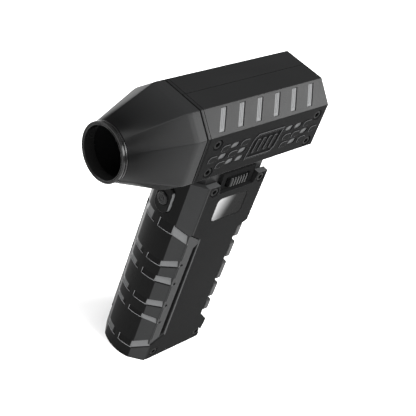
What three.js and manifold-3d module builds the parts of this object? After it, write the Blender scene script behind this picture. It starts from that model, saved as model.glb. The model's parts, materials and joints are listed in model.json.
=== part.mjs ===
// Handheld turbo blower for drying cars: an octagonal fan head on an upright battery handle.
// Millimetres. Inside the assembly x runs along the air axis from the joint of nozzle and head
// (the nozzle points to -x), y is across and z is up. The outer group stands it on its base.
import * as THREE from 'three';
import { mergeVertices } from 'three/addons/utils/BufferGeometryUtils.js';
import Module from 'manifold-3d';

const wasm = await Module();
wasm.setup();

// fits
const fitGap = 0.3;            // between pieces that meet
const slideGap = 0.35;         // round pieces that move
const overCut = 2;             // how far a cutter runs past the wall it cuts
const sides = 32;              // round faces on the air path
const fewSides = 16;           // round faces on small parts
const rodSides = 12;           // round faces on thin rods

// head
const headLength = 77.4;
const headHalf = 20;           // from the air axis to each wide flat
const flatHalf = 11.2;         // half the width of a wide flat
const shellWall = 2.2;
const shellStart = 0.5;        // shadow gap behind the nozzle collar

// nozzle
const nozzleLength = 35.9;
const collarLength = 5.6;
const outletRadius = 12.7;
const outletBore = 11.2;
const ringLength = 2.3;
const ringSpigotLength = 3.2;
const ringSpigotWall = 0.7;
const ringLip = 0.7;           // chamfer round the mouth
const nozzleSpigotLength = 3;
const nozzleSpigotRoot = 1;    // how far the spigot reaches into the collar
const nozzleEntryClear = 0.4;  // the nozzle starts this much wider than the duct
const nozzleEntryTaper = 1;    // and narrows by this along the collar
const loftSteps = 4;
const loftFlatSteps = 6;       // points along a wide flat and along a slope
const loftSlopeSteps = 3;

// air duct and fan
const ductBore = 14.6;
const ductWall = 1.3;
const rearCapLength = 2.6;
const rearCapInset = 0.8;      // the cap sits this far inside the shells' rear edge
const intakeRadius = ductBore + 0.4;
const grilleLength = 1.8;
const grilleRing = 1.1;
const grilleSpokes = 8;
const grilleRadii = [4.4, 8, 11.4];
const hubRadius = 8.4;
const hubWall = 1.2;
const hubEnd = headLength - 22.9;
const hubStart = hubEnd - 20.5;
const vaneStart = hubStart + 6;
const vaneEnd = vaneStart + 11;
const vaneCount = 7;
const vaneThick = 1.1;
const vaneBand = 0.9;
const vaneInset = 0.5;         // the vanes stop this far inside their ring
const vaneTurn = 0.3;
const tailConeLength = 17;
const tailConeSteps = 6;
const tailSpigot = 2;
const tailBoreDepth = 3;
const webThick = 3;
const shaftRadius = 1;
const shaftBore = 1.2;
const bearingRadius = 3;
const bearingLength = 2.4;
const statorInner = 4.3;
const magnetRadius = 3.8;
const magnetLength = 11;
const magnetStart = hubStart + 4.5;
const statorSlots = 6;
const statorSlotWidth = 1;
const statorSlotDepth = 1.6;
const statorSlotRise = 0.2;
const shaftFront = hubStart - 0.5;
const impellerStart = hubEnd + 1.5;
const impellerLength = 9;
const bladeCount = 9;
const bladeThick = 0.9;
const bladeChord = 8.4;
const bladeRootAngle = 0.5;
const bladeTipAngle = 0.98;
const bladeTipGap = 0.5;
const bladeRootSink = 2;       // how far a blade reaches into the hub
// outline of the wheel's hub: distance before its rear end, and step in from the hub radius
const wheelStart = 0.4;
const wheelShoulder = [4, 0.8];
const wheelEdge = [1.4, 2.2];
const wheelEndStep = 3.4;
const spinnerLength = 4.2;
const spinnerStep = 3.6;
const spinnerSteps = 5;
const spinnerBore = 2;

// screws
const screwHeadRadius = 2.25;
const screwHeadLength = 1.7;
const screwShankRadius = 1.25;
const screwHoleRadius = 1.55;
const socketRadius = 1.45;
const socketDepth = 1;
const screwSides = 12;
const shankSides = 8;
const counterboreRadius = 2.75;
const counterboreDepth = 2.1;
const plateBoreDepth = 1.9;    // counterbore in the thinner side plates
const seatGap = 0.1;           // under the screw heads
const bossHalf = 3;
const headScrewX = [8, headLength - 5.4];
const headScrewZ = [6.5, -8];
const headScrewReach = 14.9;   // how near the air axis the shank comes
const headBossDepth = 1.5;     // how far the shell's boss stands in from its wall

// vents in the upper slopes
const ventCount = 6;
const ventFirst = 11.9;
const ventRearSpace = 9.85;    // from the last vent to the rear edge
const ventPitch = (headLength - ventFirst - ventRearSpace) / (ventCount - 1);
const ventWidth = 3.4;
const ventLow = 0.13;          // share of the slope where a vent starts and ends
const ventHigh = 0.9;
const ventSlant = 4.7;
const ventRecess = 0.9;
const ventStripThick = 1.1;
const ventPadGap = 0.2;
const ventStripMargin = 1;

// handle
const handleBottom = -136.2;
const handleHalf = 15.2;
const frontX = 13.8;           // corner between front face and slope
const frontHalf = 9;
const frontCrown = 2.1;        // how far the front face swells
const crownSteps = 8;
const seamX = 20.05;           // joint between front cover and side plates
const coverWall = 2.2;
const coverTop = -24.4;
const plateThick = 3;
const plateTop = -24.8;
const plateRear = 58.7;
const plateFoot = plateRear - 1.5;   // the rear edge tapers in to here at the base
const plateTaper = 10;
const coreWall = 1.8;
const coreRear = plateRear - 1.8;
const neckTop = -headHalf - fitGap;
const roofThick = 2;
const wireHole = 3.2;
const wireX = 28;
const baseThick = 2;
const notchFront = [27.6, 29];   // finger notch over the slider: at its top and at its ledge
const notchRear = [51, 52.5];
const notchLedge = -30.2;

// grip flange let into each plate
const flangeTop = handleBottom + 83.7;
const flangeDrop = 5.1;
const flangeWidth = 5.2;
const flangeTongue = 7.6;
const flangeBottom = handleBottom + 11.8;
const flangeRise = 2.8;
const flangeSink = 0.3;
const flangeRoot = 1;          // how far it reaches under the cover
const flangeTongueEdge = 2;    // straight end of the tongue
const flangeTongueRun = 4.2;   // where the slope below the tongue ends
const flangeSlip = 0.2;        // extra gap along its sloped ends
const flangeFootClear = 4;

// tread bands across the front cover: heights above the base of the upper and lower edge
// at the corner of the front face, then at the joint with the side plate
const treadBands = [
  [87.5, 82.2, 83.3, 78.3],
  [65.8, 62.4, 68.5, 64.7],
  [56.4, 52.9, 57.2, 52.6],
  [40.8, 37.2, 41.8, 38.0],
  [31.2, 28.3, 29.7, 26.4],
  [11.4, 7.0, 15.5, 10.8],
];
const treadDepth = 0.7;
const treadSpineHalf = 1.3;

// rear grip
const rearNotchX = plateRear - 5.8;
const rearNotchTop = handleBottom + 81;
const rearNotchBottom = handleBottom + 12.4;
const rearNotchSlope = [3, 6.3];
const rearStripThick = 1.2;
const rearStripTop = -27;
const rearPads = [[76.9, 69.9], [65.2, 56.2], [51.6, 41.2], [37, 28.6], [25, 19.2]];   // above the base
const rearPadProud = 0.5;
const rearPadX = plateRear - 3.3;
const rearPadSink = 1.2;

// controls
const buttonZ = -38.2;
const buttonRadius = 3.1;
const buttonFace = 9.8;
const buttonTravel = 1.2;
const buttonFlange = 0.7;
const buttonFlangeThick = 0.9;
const buttonStemRadius = 1.2;
const bezelHalf = 4.6;
const bezelStraight = 3;
const bezelFace = 10.6;
const bezelLip = 3.1;
const bezelFootGap = 0.1;
const stemEnd = 19.4;
const tactSize = 6;
const tactThick = 3.4;
const tactRest = 0.2;          // gap between stem and switch when pressed
const tactCapWider = 0.4;
const tactCapLength = 0.8;
const tactCapRoot = 0.2;
const slotFront = 32.5;
const slotRear = 47.9;
const slotTop = -23.1;
const slotBottom = -29;
const sliderTravel = 2;
const sliderProud = 1.2;
const sliderRibs = 5;
const ribDepth = 0.8;
const sliderHousingFront = 29.6;
const sliderHousingRear = 50.6;
const sliderHousingProud = 1.6;
const slideBodyDepth = 4.4;
const slideBodyInset = [0.4, 0.6];   // below and above the slider's slot
const sliderRoot = 0.5;        // how far the slider reaches in past its wall

// display
const windowFront = 30.2;
const windowRear = 50;
const windowTop = -33.8;
const windowBottom = -47.6;
const windowRadius = 2.5;
const lensThick = 2;
const lensSink = 0.15;
const moduleThick = 3;
const moduleEdge = 1.5;

// battery and boards
const cellRadius = 9;
const cellLength = 65;
const cellTipRadius = 3;
const cellTipLength = 1;
const cellBottom = handleBottom + 11.7;
const cradleHeight = 7;
const cradleFloor = 1.6;
const boardThick = 1.4;
const boardTop = -29.5;
const boardBottom = -53.5;
const boardFrontClear = 4;
const boardRearClear = 1;
const boardBossClear = 0.4;    // gap to the screw bosses behind it
const chipSize = 5;
const chipThick = 1;
const usbWidth = 9;
const usbThick = 3.3;
const usbDepth = 7;
const usbShell = 0.5;
const usbTongueInset = 1.4;
const usbTongueThick = 0.7;
const usbX = 33;
const leadRadius = 1.3;
const leadSteps = 12;
const leadSides = 8;
const leadBends = [2, 4];      // how far back the leads run at the ledge and at the board
const leadDip = 6;             // below the top of the board
const leadBoardGap = 1.6;

// sizes that follow from those above
const coreHalf = handleHalf - plateThick - fitGap;
const coreInner = coreHalf - coreWall;
const coreFront = frontX + coverWall + fitGap;
const slopeRun = seamX - frontX;
const slopeRise = handleHalf - frontHalf;
const rearInner = coreRear - coreWall;
const cellRearClear = 0.4;
const cellX = [coreFront + coreWall + fitGap + cellRadius, rearInner - cellRearClear - cellRadius];
const boardY = coreHalf - 2 * coreWall - boardBossClear - boardThick;
const usbLow = handleBottom + fitGap;
const entryBore = ductBore + nozzleEntryClear;
const ringStart = -nozzleLength + ringLength;
const plateScrewX = [seamX + 5.15, plateRear - 3.5];
const plateScrewZ = [plateTop - 3.3, handleBottom + 4];
const rearCapEnd = headLength - rearCapInset;
const ductStart = nozzleSpigotLength + fitGap;
const ductEnd = rearCapEnd - rearCapLength - fitGap;

// closed geometry to solid, and back
function solid(geometry) {
  const bare = geometry.clone();
  bare.deleteAttribute('normal');
  bare.deleteAttribute('uv');
  const merged = mergeVertices(bare, 1e-3);
  const index = merged.index.array;
  const triangles = [];
  for (let i = 0; i < index.length; i += 3) {
    const [a, b, c] = [index[i], index[i + 1], index[i + 2]];
    if (a !== b && b !== c && c !== a) triangles.push(a, b, c);
  }
  const vertProperties = Float32Array.from(merged.attributes.position.array);
  const triVerts = Uint32Array.from(triangles);
  return new wasm.Manifold(new wasm.Mesh({ numProp: 3, vertProperties, triVerts }));
}

function geometryOf(body) {
  const mesh = body.getMesh();
  const geometry = new THREE.BufferGeometry();
  const points = Float32Array.from(mesh.vertProperties);
  geometry.setAttribute('position', new THREE.BufferAttribute(points, 3));
  geometry.setIndex(new THREE.BufferAttribute(Uint32Array.from(mesh.triVerts), 1));
  return geometry;
}

function acrossY(geometry) {
  const copy = geometry.clone();
  copy.scale(1, -1, 1);
  const index = copy.index.array;
  for (let i = 0; i < index.length; i += 3) [index[i], index[i + 1]] = [index[i + 1], index[i]];
  return copy;
}

// shapes placed by the ranges they fill
const axisX = new THREE.Vector3(1, 0, 0);
const axisY = new THREE.Vector3(0, 1, 0);
const axisZ = new THREE.Vector3(0, 0, 1);

function block(x0, x1, y0, y1, z0, z1) {
  const box = new THREE.BoxGeometry(x1 - x0, y1 - y0, z1 - z0);
  return solid(box.translate((x0 + x1) / 2, (y0 + y1) / 2, (z0 + z1) / 2));
}

function outline(points) {
  return new THREE.Shape(points.map(([a, b]) => new THREE.Vector2(a, b)));
}

function extruded(shape, depth) {
  return new THREE.ExtrudeGeometry(shape, { depth, bevelEnabled: false, curveSegments: 6 });
}

function alongX(shape, x0, x1) {           // shape drawn in y, z
  const turn = new THREE.Matrix4().makeBasis(axisY, axisZ, axisX);
  return solid(extruded(shape, x1 - x0).applyMatrix4(turn).translate(x0, 0, 0));
}

function alongY(shape, y0, y1) {           // shape drawn in x, z
  const turn = new THREE.Matrix4().makeBasis(axisX, axisZ, axisY.clone().negate());
  return solid(extruded(shape, y1 - y0).applyMatrix4(turn).translate(0, y1, 0));
}

function alongZ(shape, z0, z1) {           // shape drawn in x, y
  return solid(extruded(shape, z1 - z0).translate(0, 0, z0));
}

function rodX(radius, x0, x1, z, count = fewSides) {
  const rod = new THREE.CylinderGeometry(radius, radius, x1 - x0, count);
  return solid(rod.rotateZ(-Math.PI / 2).translate((x0 + x1) / 2, 0, z));
}

function airRod(radius, x0, x1, count = sides) {      // on the air axis
  return rodX(radius, x0, x1, 0, count);
}

function rodY(radius, y0, y1, x, z, count = fewSides) {
  const rod = new THREE.CylinderGeometry(radius, radius, y1 - y0, count);
  return solid(rod.translate(x, (y0 + y1) / 2, z));
}

function rodZ(radius, z0, z1, x, y, count = fewSides) {
  const rod = new THREE.CylinderGeometry(radius, radius, z1 - z0, count);
  return solid(rod.rotateX(Math.PI / 2).translate(x, y, (z0 + z1) / 2));
}

function turned(profile, count = sides) {  // profile of [x, radius], from low x to high x
  const lathe = new THREE.LatheGeometry(profile.map(([x, r]) => new THREE.Vector2(r, x)), count);
  return solid(lathe.rotateZ(-Math.PI / 2));
}

function tube(outer, inner, x0, x1, count = sides) {
  return airRod(outer, x0, x1, count).subtract(airRod(inner, x0 - overCut, x1 + overCut, count));
}

// octagon of the head, set in by a wall; the slopes stay parallel to themselves
function octagon(inset) {
  const half = headHalf - inset;
  const flat = flatHalf - inset * (Math.SQRT2 - 1);
  return [[half, flat], [flat, half], [-flat, half], [-half, flat],
    [-half, -flat], [-flat, -half], [flat, -half], [half, -flat]];
}

function halfSpace(side) {
  const far = 2 * headHalf;
  const length = 2 * headLength;
  const reach = [side * fitGap / 2, side * far];
  return block(-length, length, Math.min(...reach), Math.max(...reach), 2 * handleBottom, far);
}

function screw(seat, tip, side, x, z) {
  const top = seat + screwHeadLength;
  const head = rodY(screwHeadRadius, seat, top, x, z, screwSides);
  const shank = rodY(screwShankRadius, tip, seat + fitGap, x, z, shankSides);
  const socket = rodY(socketRadius, top - socketDepth, top + overCut, x, z, 6);
  const whole = geometryOf(head.add(shank).subtract(socket));
  return side > 0 ? whole : acrossY(whole);
}

// nozzle: octagonal collar drawn down to the round outlet
function collarPoint(angle) {
  const [c, s] = [Math.abs(Math.cos(angle)), Math.abs(Math.sin(angle))];
  const reach = Math.min(headHalf / Math.max(c, s), (headHalf + flatHalf) / (c + s));
  return [reach * Math.cos(angle), reach * Math.sin(angle)];
}

function loftAngles() {
  const corner = Math.atan2(flatHalf, headHalf);
  const angles = [];
  for (let quarter = 0; quarter < 4; quarter += 1) {
    const start = quarter * Math.PI / 2;
    for (let i = 0; i < loftFlatSteps; i += 1) {
      angles.push(start - corner + 2 * corner * i / loftFlatSteps);
    }
    const turn = Math.PI / 2 - 2 * corner;
    for (let i = 0; i < loftSlopeSteps; i += 1) {
      angles.push(start + corner + turn * i / loftSlopeSteps);
    }
  }
  return angles;
}

function nozzleOuter() {
  const angles = loftAngles();
  const rows = [[-fitGap, 0]];
  const coneLength = ringStart + fitGap + collarLength;
  for (let i = 0; i <= loftSteps; i += 1) {
    const share = i / loftSteps;
    rows.push([-collarLength + coneLength * share, share]);
  }
  const positions = [];
  for (const [x, share] of rows) {
    for (const angle of angles) {
      const [y, z] = collarPoint(angle);
      const round = outletRadius * share;
      const [roundY, roundZ] = [round * Math.cos(angle), round * Math.sin(angle)];
      positions.push(x, y * (1 - share) + roundY, z * (1 - share) + roundZ);
    }
  }
  const n = angles.length;
  const first = positions.length / 3;
  positions.push(rows[0][0], 0, 0, rows[rows.length - 1][0], 0, 0);
  const index = [];
  for (let i = 0; i < n; i += 1) {
    const j = (i + 1) % n;
    index.push(first, i, j);
    const last = (rows.length - 1) * n;
    index.push(first + 1, last + j, last + i);
    for (let r = 0; r < rows.length - 1; r += 1) {
      const [a, b, c, d] = [r * n + i, r * n + j, (r + 1) * n + i, (r + 1) * n + j];
      index.push(a, c, b, b, c, d);
    }
  }
  const geometry = new THREE.BufferGeometry();
  geometry.setAttribute('position', new THREE.Float32BufferAttribute(positions, 3));
  geometry.setIndex(index);
  return solid(geometry);
}

function nozzleCone() {
  const root = -fitGap - nozzleSpigotRoot;
  const spigot = alongX(outline(octagon(shellWall + fitGap)), root, nozzleSpigotLength);
  const seat = outletBore + ringSpigotWall + fitGap / 2;
  const seatEnd = ringStart + ringSpigotLength + fitGap;
  const back = nozzleSpigotLength + overCut;
  const bore = turned([[-nozzleLength, 0], [-nozzleLength, seat], [seatEnd, seat], [seatEnd, outletBore],
    [-collarLength, entryBore - nozzleEntryTaper], [back, entryBore], [back, 0]]);
  return geometryOf(nozzleOuter().add(spigot).subtract(bore));
}

function outletRing() {
  const spigot = outletBore + ringSpigotWall;
  const spigotEnd = ringStart + ringSpigotLength;
  const lipEnd = -nozzleLength + ringLip;
  return geometryOf(turned([[lipEnd, outletBore], [-nozzleLength, outletBore + ringLip],
    [-nozzleLength, outletRadius - ringLip], [lipEnd, outletRadius], [ringStart, outletRadius],
    [ringStart, spigot], [spigotEnd, spigot], [spigotEnd, outletBore], [lipEnd, outletBore]]));
}

// matrix that lays a flat drawing (x, up the slope) on the upper slope at -y
function slopeFrame() {
  const up = new THREE.Vector3(0, 1, 1).normalize();
  const out = new THREE.Vector3(0, -1, 1).normalize();
  const frame = new THREE.Matrix4().makeBasis(axisX, up, out);
  return frame.setPosition(0, -headHalf, flatHalf);
}

function ventShape(number, gap) {
  const slope = (headHalf - flatHalf) * Math.SQRT2;
  const x = ventFirst + number * ventPitch;
  const [low, high] = [ventLow * slope + gap, ventHigh * slope - gap];
  return outline([[x - ventSlant + gap, low], [x - ventSlant + ventWidth - gap, low],
    [x + ventWidth - gap, high], [x + gap, high]]);
}

function ventSolid(number, gap, bottom, top) {
  const drawn = extruded(ventShape(number, gap), top - bottom).translate(0, 0, bottom);
  return solid(drawn.applyMatrix4(slopeFrame()));
}

function ventStrip() {
  const slope = (headHalf - flatHalf) * Math.SQRT2;
  const back = -shellWall - fitGap;
  const x0 = ventFirst - ventSlant - ventStripMargin;
  const x1 = ventFirst + (ventCount - 1) * ventPitch + ventWidth + ventStripMargin;
  const sheet = new THREE.BoxGeometry(x1 - x0, slope * (ventHigh - ventLow), ventStripThick);
  sheet.translate((x0 + x1) / 2, slope * (ventHigh + ventLow) / 2, back - ventStripThick / 2);
  let strip = solid(sheet.applyMatrix4(slopeFrame()));
  for (let i = 0; i < ventCount; i += 1) {
    strip = strip.add(ventSolid(i, ventPadGap, back - ventStripThick / 2, -ventRecess));
  }
  return geometryOf(strip);
}

// counterbore and through hole, from the -y side
function screwHole(face, depth, end, x, z) {
  const counterbore = rodY(counterboreRadius, -face - overCut, -face + depth, x, z);
  return counterbore.add(rodY(screwHoleRadius, -face, end + overCut, x, z, shankSides));
}

function headShell(side) {
  const body = alongX(outline(octagon(0)), shellStart, headLength);
  const hollow = alongX(outline(octagon(shellWall)), shellStart - overCut, headLength + overCut);
  let shell = body.subtract(hollow);
  const bossTop = headHalf - shellWall / 2;
  const bossEnd = headHalf - shellWall - headBossDepth;
  for (const x of headScrewX) {
    for (const z of headScrewZ) {
      shell = shell.add(rodY(bossHalf, -bossTop, -bossEnd, x, z));
      shell = shell.subtract(screwHole(headHalf, counterboreDepth, -bossEnd, x, z));
    }
  }
  for (let i = 0; i < ventCount; i += 1) {
    shell = shell.subtract(ventSolid(i, 0, -shellWall - overCut, overCut));
  }
  const floor = -headHalf + shellWall;
  shell = shell.subtract(rodZ(wireHole, -headHalf - overCut, floor + overCut, wireX, 0));
  const half = geometryOf(shell.intersect(halfSpace(-1)));
  return side < 0 ? half : acrossY(half);
}

function rearCap() {
  const start = rearCapEnd - rearCapLength;
  const plate = alongX(outline(octagon(shellWall + fitGap)), start, rearCapEnd);
  const seat = airRod(intakeRadius + grilleRing, rearCapEnd - grilleLength, rearCapEnd + overCut);
  let cap = plate.subtract(seat).subtract(airRod(ductBore, start - overCut, rearCapEnd));
  const x = headScrewX[1];
  for (const z of headScrewZ) {
    for (const side of [-1, 1]) {
      const y = side * (headHalf - shellWall - headBossDepth / 2);
      const reach = bossHalf + fitGap;
      cap = cap.subtract(block(x - 2 * bossHalf, x + reach, y - bossHalf, y + bossHalf,
        z - reach, z + reach));
    }
  }
  return geometryOf(cap);
}

function intakeGrille() {
  const [start, end] = [rearCapEnd - grilleLength + fitGap, rearCapEnd];
  const outer = intakeRadius + grilleRing - fitGap;
  let grille = tube(outer, outer - grilleRing, start, end);
  for (const radius of grilleRadii) {
    const inner = radius - grilleRing / 2;
    grille = grille.add(tube(inner + grilleRing, inner, start, end, fewSides));
  }
  for (let i = 0; i < grilleSpokes / 2; i += 1) {
    const bar = new THREE.BoxGeometry(end - start, 2 * outer - grilleRing, grilleRing);
    bar.rotateX(i * 2 * Math.PI / grilleSpokes).translate((start + end) / 2, 0, 0);
    grille = grille.add(solid(bar));
  }
  return geometryOf(grille.add(airRod(2 * grilleRing, start, end, fewSides)));
}

function fanDuct() {
  const outer = ductBore + ductWall;
  let duct = airRod(outer, ductStart, ductEnd);
  const bossTop = headHalf - shellWall - headBossDepth - fitGap;
  for (const x of headScrewX) {
    for (const z of headScrewZ) {
      const [near, far] = [Math.max(x - bossHalf, ductStart), Math.min(x + bossHalf, ductEnd)];
      duct = duct.add(block(near, far, -bossTop, bossTop, z - bossHalf, z + bossHalf));
    }
  }
  duct = duct.subtract(airRod(ductBore, ductStart - overCut, ductEnd + overCut));
  for (const x of headScrewX) {
    for (const z of headScrewZ) {
      duct = duct.subtract(rodY(screwHoleRadius, -headHalf, headHalf, x, z, shankSides));
    }
  }
  return geometryOf(duct);
}

// brushless motor inside the guide vane ring
function vaneRing() {
  const outer = ductBore - fitGap;
  let ring = tube(outer, outer - vaneBand, vaneStart, vaneEnd);
  ring = ring.add(tube(hubRadius, hubRadius - hubWall, hubStart, hubEnd));
  const root = hubRadius - hubWall / 2;
  const span = outer - vaneBand / 2 - root;
  for (let i = 0; i < vaneCount; i += 1) {
    const vane = new THREE.BoxGeometry(vaneEnd - vaneStart - 2 * vaneInset, vaneThick, span);
    vane.rotateZ(vaneTurn).translate((vaneStart + vaneEnd) / 2, 0, root + span / 2);
    ring = ring.add(solid(vane.rotateX(i * 2 * Math.PI / vaneCount)));
  }
  const web = hubEnd - webThick;
  ring = ring.add(airRod(root, web, hubEnd));
  ring = ring.subtract(airRod(bearingRadius + fitGap, web - overCut, hubEnd + overCut, fewSides));
  return geometryOf(ring);
}

function tailCone() {
  const back = hubStart - fitGap;
  const profile = [[back - tailConeLength, 0]];
  for (let i = 1; i <= tailConeSteps; i += 1) {
    const share = i / tailConeSteps;
    profile.push([back - tailConeLength * (1 - share), hubRadius * Math.sin(share * Math.PI / 2)]);
  }
  const inner = hubRadius - hubWall - fitGap;
  const end = back + tailSpigot;
  profile.push([back, inner], [end, inner], [end, 0]);
  const seat = airRod(bearingRadius + fitGap, end - bearingLength - fitGap, end + overCut, fewSides);
  const clear = airRod(shaftRadius + slideGap, back - tailBoreDepth, back + overCut, fewSides);
  return geometryOf(turned(profile, fewSides).subtract(seat).subtract(clear));
}

function bearing(start) {
  return geometryOf(tube(bearingRadius, shaftBore, start, start + bearingLength, fewSides));
}

function motorStator() {
  const outer = hubRadius - hubWall - fitGap;
  let stator = tube(outer, statorInner, magnetStart, magnetStart + magnetLength, fewSides);
  for (let i = 0; i < statorSlots; i += 1) {
    const slot = new THREE.BoxGeometry(magnetLength + overCut, statorSlotWidth, statorSlotDepth);
    slot.translate(magnetStart + magnetLength / 2, 0, statorInner + statorSlotRise);
    stator = stator.subtract(solid(slot.rotateX(i * 2 * Math.PI / statorSlots)));
  }
  return geometryOf(stator);
}

function motorMagnet() {
  const end = magnetStart + magnetLength;
  return geometryOf(tube(magnetRadius, shaftRadius + fitGap, magnetStart, end, fewSides));
}

function motorShaft() {
  const end = impellerStart + impellerLength + spinnerBore;
  return geometryOf(airRod(shaftRadius, shaftFront, end, rodSides));
}

// one blade from hub to tip, turning as it goes out
function blade() {
  const middle = impellerStart + impellerLength / 2;
  const half = [(hubRadius + ductBore) / 2, (bladeRootAngle + bladeTipAngle) / 2];
  const tip = [ductBore - bladeTipGap, bladeTipAngle];
  const stations = [[hubRadius - bladeRootSink, bladeRootAngle], half, tip];
  const positions = [];
  for (const [radius, angle] of stations) {
    const [c, s] = [Math.cos(angle), Math.sin(angle)];
    for (const [along, across] of [[-1, -1], [1, -1], [1, 1], [-1, 1]]) {
      const [a, t] = [along * bladeChord / 2, across * bladeThick / 2];
      positions.push(middle + a * c - t * s, a * s + t * c, radius);
    }
  }
  const index = [0, 2, 1, 0, 3, 2];
  for (let r = 0; r < stations.length - 1; r += 1) {
    for (let i = 0; i < 4; i += 1) {
      const [a, b, c, d] = [r * 4 + i, r * 4 + (i + 1) % 4, r * 4 + 4 + i, r * 4 + 4 + (i + 1) % 4];
      index.push(a, b, d, a, d, c);
    }
  }
  const top = (stations.length - 1) * 4;
  index.push(top, top + 1, top + 2, top, top + 2, top + 3);
  const geometry = new THREE.BufferGeometry();
  geometry.setAttribute('position', new THREE.Float32BufferAttribute(positions, 3));
  geometry.setIndex(index);
  return geometry;
}

function impeller() {
  const end = impellerStart + impellerLength;
  let wheel = turned([[impellerStart, 0], [impellerStart, hubRadius - wheelStart],
    [end - wheelShoulder[0], hubRadius - wheelShoulder[1]], [end - wheelEdge[0], hubRadius - wheelEdge[1]],
    [end, hubRadius - wheelEndStep], [end, 0]]);
  const limit = tube(ductBore - bladeTipGap, 1, impellerStart, end);
  for (let i = 0; i < bladeCount; i += 1) {
    wheel = wheel.add(solid(blade().rotateX(i * 2 * Math.PI / bladeCount)).intersect(limit));
  }
  const bore = airRod(shaftRadius + fitGap, impellerStart - overCut, end + overCut, rodSides);
  return geometryOf(wheel.subtract(bore));
}

function spinner() {
  const start = impellerStart + impellerLength + fitGap;
  const radius = hubRadius - spinnerStep;
  const profile = [[start, 0], [start, radius]];
  for (let i = 1; i < spinnerSteps; i += 1) {
    const angle = i / spinnerSteps * Math.PI / 2;
    profile.push([start + spinnerLength * Math.sin(angle), radius * Math.cos(angle)]);
  }
  profile.push([start + spinnerLength, 0]);
  const bore = airRod(shaftRadius + fitGap, start - overCut, start + spinnerBore, rodSides);
  return geometryOf(turned(profile, fewSides).subtract(bore));
}

// handle: front outline from seam to seam, swollen front face, set in by a depth
function frontOutline(inset) {
  const slope = Math.hypot(slopeRun, slopeRise);
  const shift = inset * slope / slopeRise;
  const corner = frontHalf - inset * (slope - slopeRise) / slopeRun;
  const points = [];
  for (let i = 0; i <= crownSteps; i += 1) {
    const y = -corner + 2 * corner * i / crownSteps;
    points.push([frontX + inset - frontCrown * (1 - (y / corner) ** 2), y]);
  }
  const seamY = Math.min(handleHalf, frontHalf + (seamX - frontX - shift) * slopeRise / slopeRun);
  points.push([seamX, seamY], [seamX, -seamY]);
  return points;
}

function coreOutline(inset) {
  const front = coreFront + inset;
  const slope = Math.hypot(slopeRun, slopeRise);
  const shift = (coverWall + fitGap + inset) * slope / slopeRise;
  const half = coreHalf - inset;
  const slopeAt = (y) => frontX + shift + (y - frontHalf) * slopeRun / slopeRise;
  const yFront = frontHalf + (front - frontX - shift) * slopeRise / slopeRun;
  return [[front, -yFront], [slopeAt(half), -half], [coreRear - inset, -half],
    [coreRear - inset, half], [slopeAt(half), half], [front, yFront]];
}

function bandRegion(band, side) {
  const [topCorner, lowCorner, topSeam, lowSeam] = band.map((height) => handleBottom + height);
  const run = (topSeam - topCorner) / slopeRise;
  const lowRun = (lowSeam - lowCorner) / slopeRise;
  const past = handleHalf + 1;
  const topPast = topCorner + run * (past - frontHalf);
  const lowPast = lowCorner + lowRun * (past - frontHalf);
  const points = [[side * treadSpineHalf, topCorner], [side * frontHalf, topCorner], [side * past, topPast],
    [side * past, lowPast], [side * frontHalf, lowCorner], [side * treadSpineHalf, lowCorner]];
  return alongX(outline(points), frontX - frontCrown - overCut, seamX + overCut);
}

function flangeShape() {
  const root = seamX - flangeRoot;
  const [tongue, edge] = [seamX + flangeTongue, seamX + flangeWidth];
  const low = flangeTop - flangeDrop;
  return outline([[root, flangeTop], [seamX, flangeTop], [tongue, low], [tongue, low - flangeTongueEdge],
    [edge, low - flangeTongueRun], [edge, flangeBottom + flangeRise], [seamX, flangeBottom],
    [root, flangeBottom]]);
}

function bezelShape(half, straight) {      // drawn in y, z round the button
  const shape = new THREE.Shape();
  shape.absarc(0, buttonZ + straight, half, 0, Math.PI, false);
  shape.absarc(0, buttonZ - straight, half, Math.PI, 2 * Math.PI, false);
  return shape;
}

function frontCover() {
  let cover = alongZ(outline(frontOutline(0)), handleBottom, coverTop);
  const [below, above] = [handleBottom - overCut, coverTop + overCut];
  const skin = cover.subtract(alongZ(outline(frontOutline(treadDepth)), below, above));
  for (const band of treadBands) {
    for (const side of [-1, 1]) cover = cover.subtract(skin.intersect(bandRegion(band, side)));
  }
  for (const side of [-1, 1]) {
    const reach = [side * (coreHalf + fitGap), side * (handleHalf - flangeSink)];
    cover = cover.add(alongY(flangeShape(), Math.min(...reach), Math.max(...reach)));
  }
  cover = cover.subtract(alongZ(outline(coreOutline(-fitGap)), below, above));
  const bezel = bezelShape(bezelHalf + fitGap, bezelStraight);
  cover = cover.subtract(alongX(bezel, bezelFace - overCut, coreFront));
  return geometryOf(cover);
}

function plateOutline() {
  const seam = seamX + fitGap;
  const grip = seamX + flangeTongue + fitGap;
  return [[seam, plateTop], [notchFront[0], plateTop], [notchFront[1], notchLedge],
    [notchRear[1], notchLedge], [notchRear[0], plateTop], [plateRear, plateTop], [plateRear, rearNotchTop],
    [rearNotchX, rearNotchTop - rearNotchSlope[0]], [rearNotchX, rearNotchBottom + rearNotchSlope[1]],
    [plateRear, rearNotchBottom], [plateRear, handleBottom + plateTaper], [plateFoot, handleBottom],
    [seam, handleBottom], [seam, flangeBottom - fitGap - flangeSlip],
    [grip, flangeBottom + flangeFootClear], [grip, flangeTop - flangeDrop + fitGap / 2],
    [seam, flangeTop + fitGap + flangeSlip]];
}

function windowShape(gap) {                // drawn in x, z
  const [x0, x1] = [windowFront + gap, windowRear - gap];
  const [z0, z1] = [windowBottom + gap, windowTop - gap];
  const r = windowRadius - gap;
  const shape = new THREE.Shape();
  shape.absarc(x1 - r, z1 - r, r, 0, Math.PI / 2, false);
  shape.absarc(x0 + r, z1 - r, r, Math.PI / 2, Math.PI, false);
  shape.absarc(x0 + r, z0 + r, r, Math.PI, 1.5 * Math.PI, false);
  shape.absarc(x1 - r, z0 + r, r, 1.5 * Math.PI, 2 * Math.PI, false);
  return shape;
}

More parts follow.
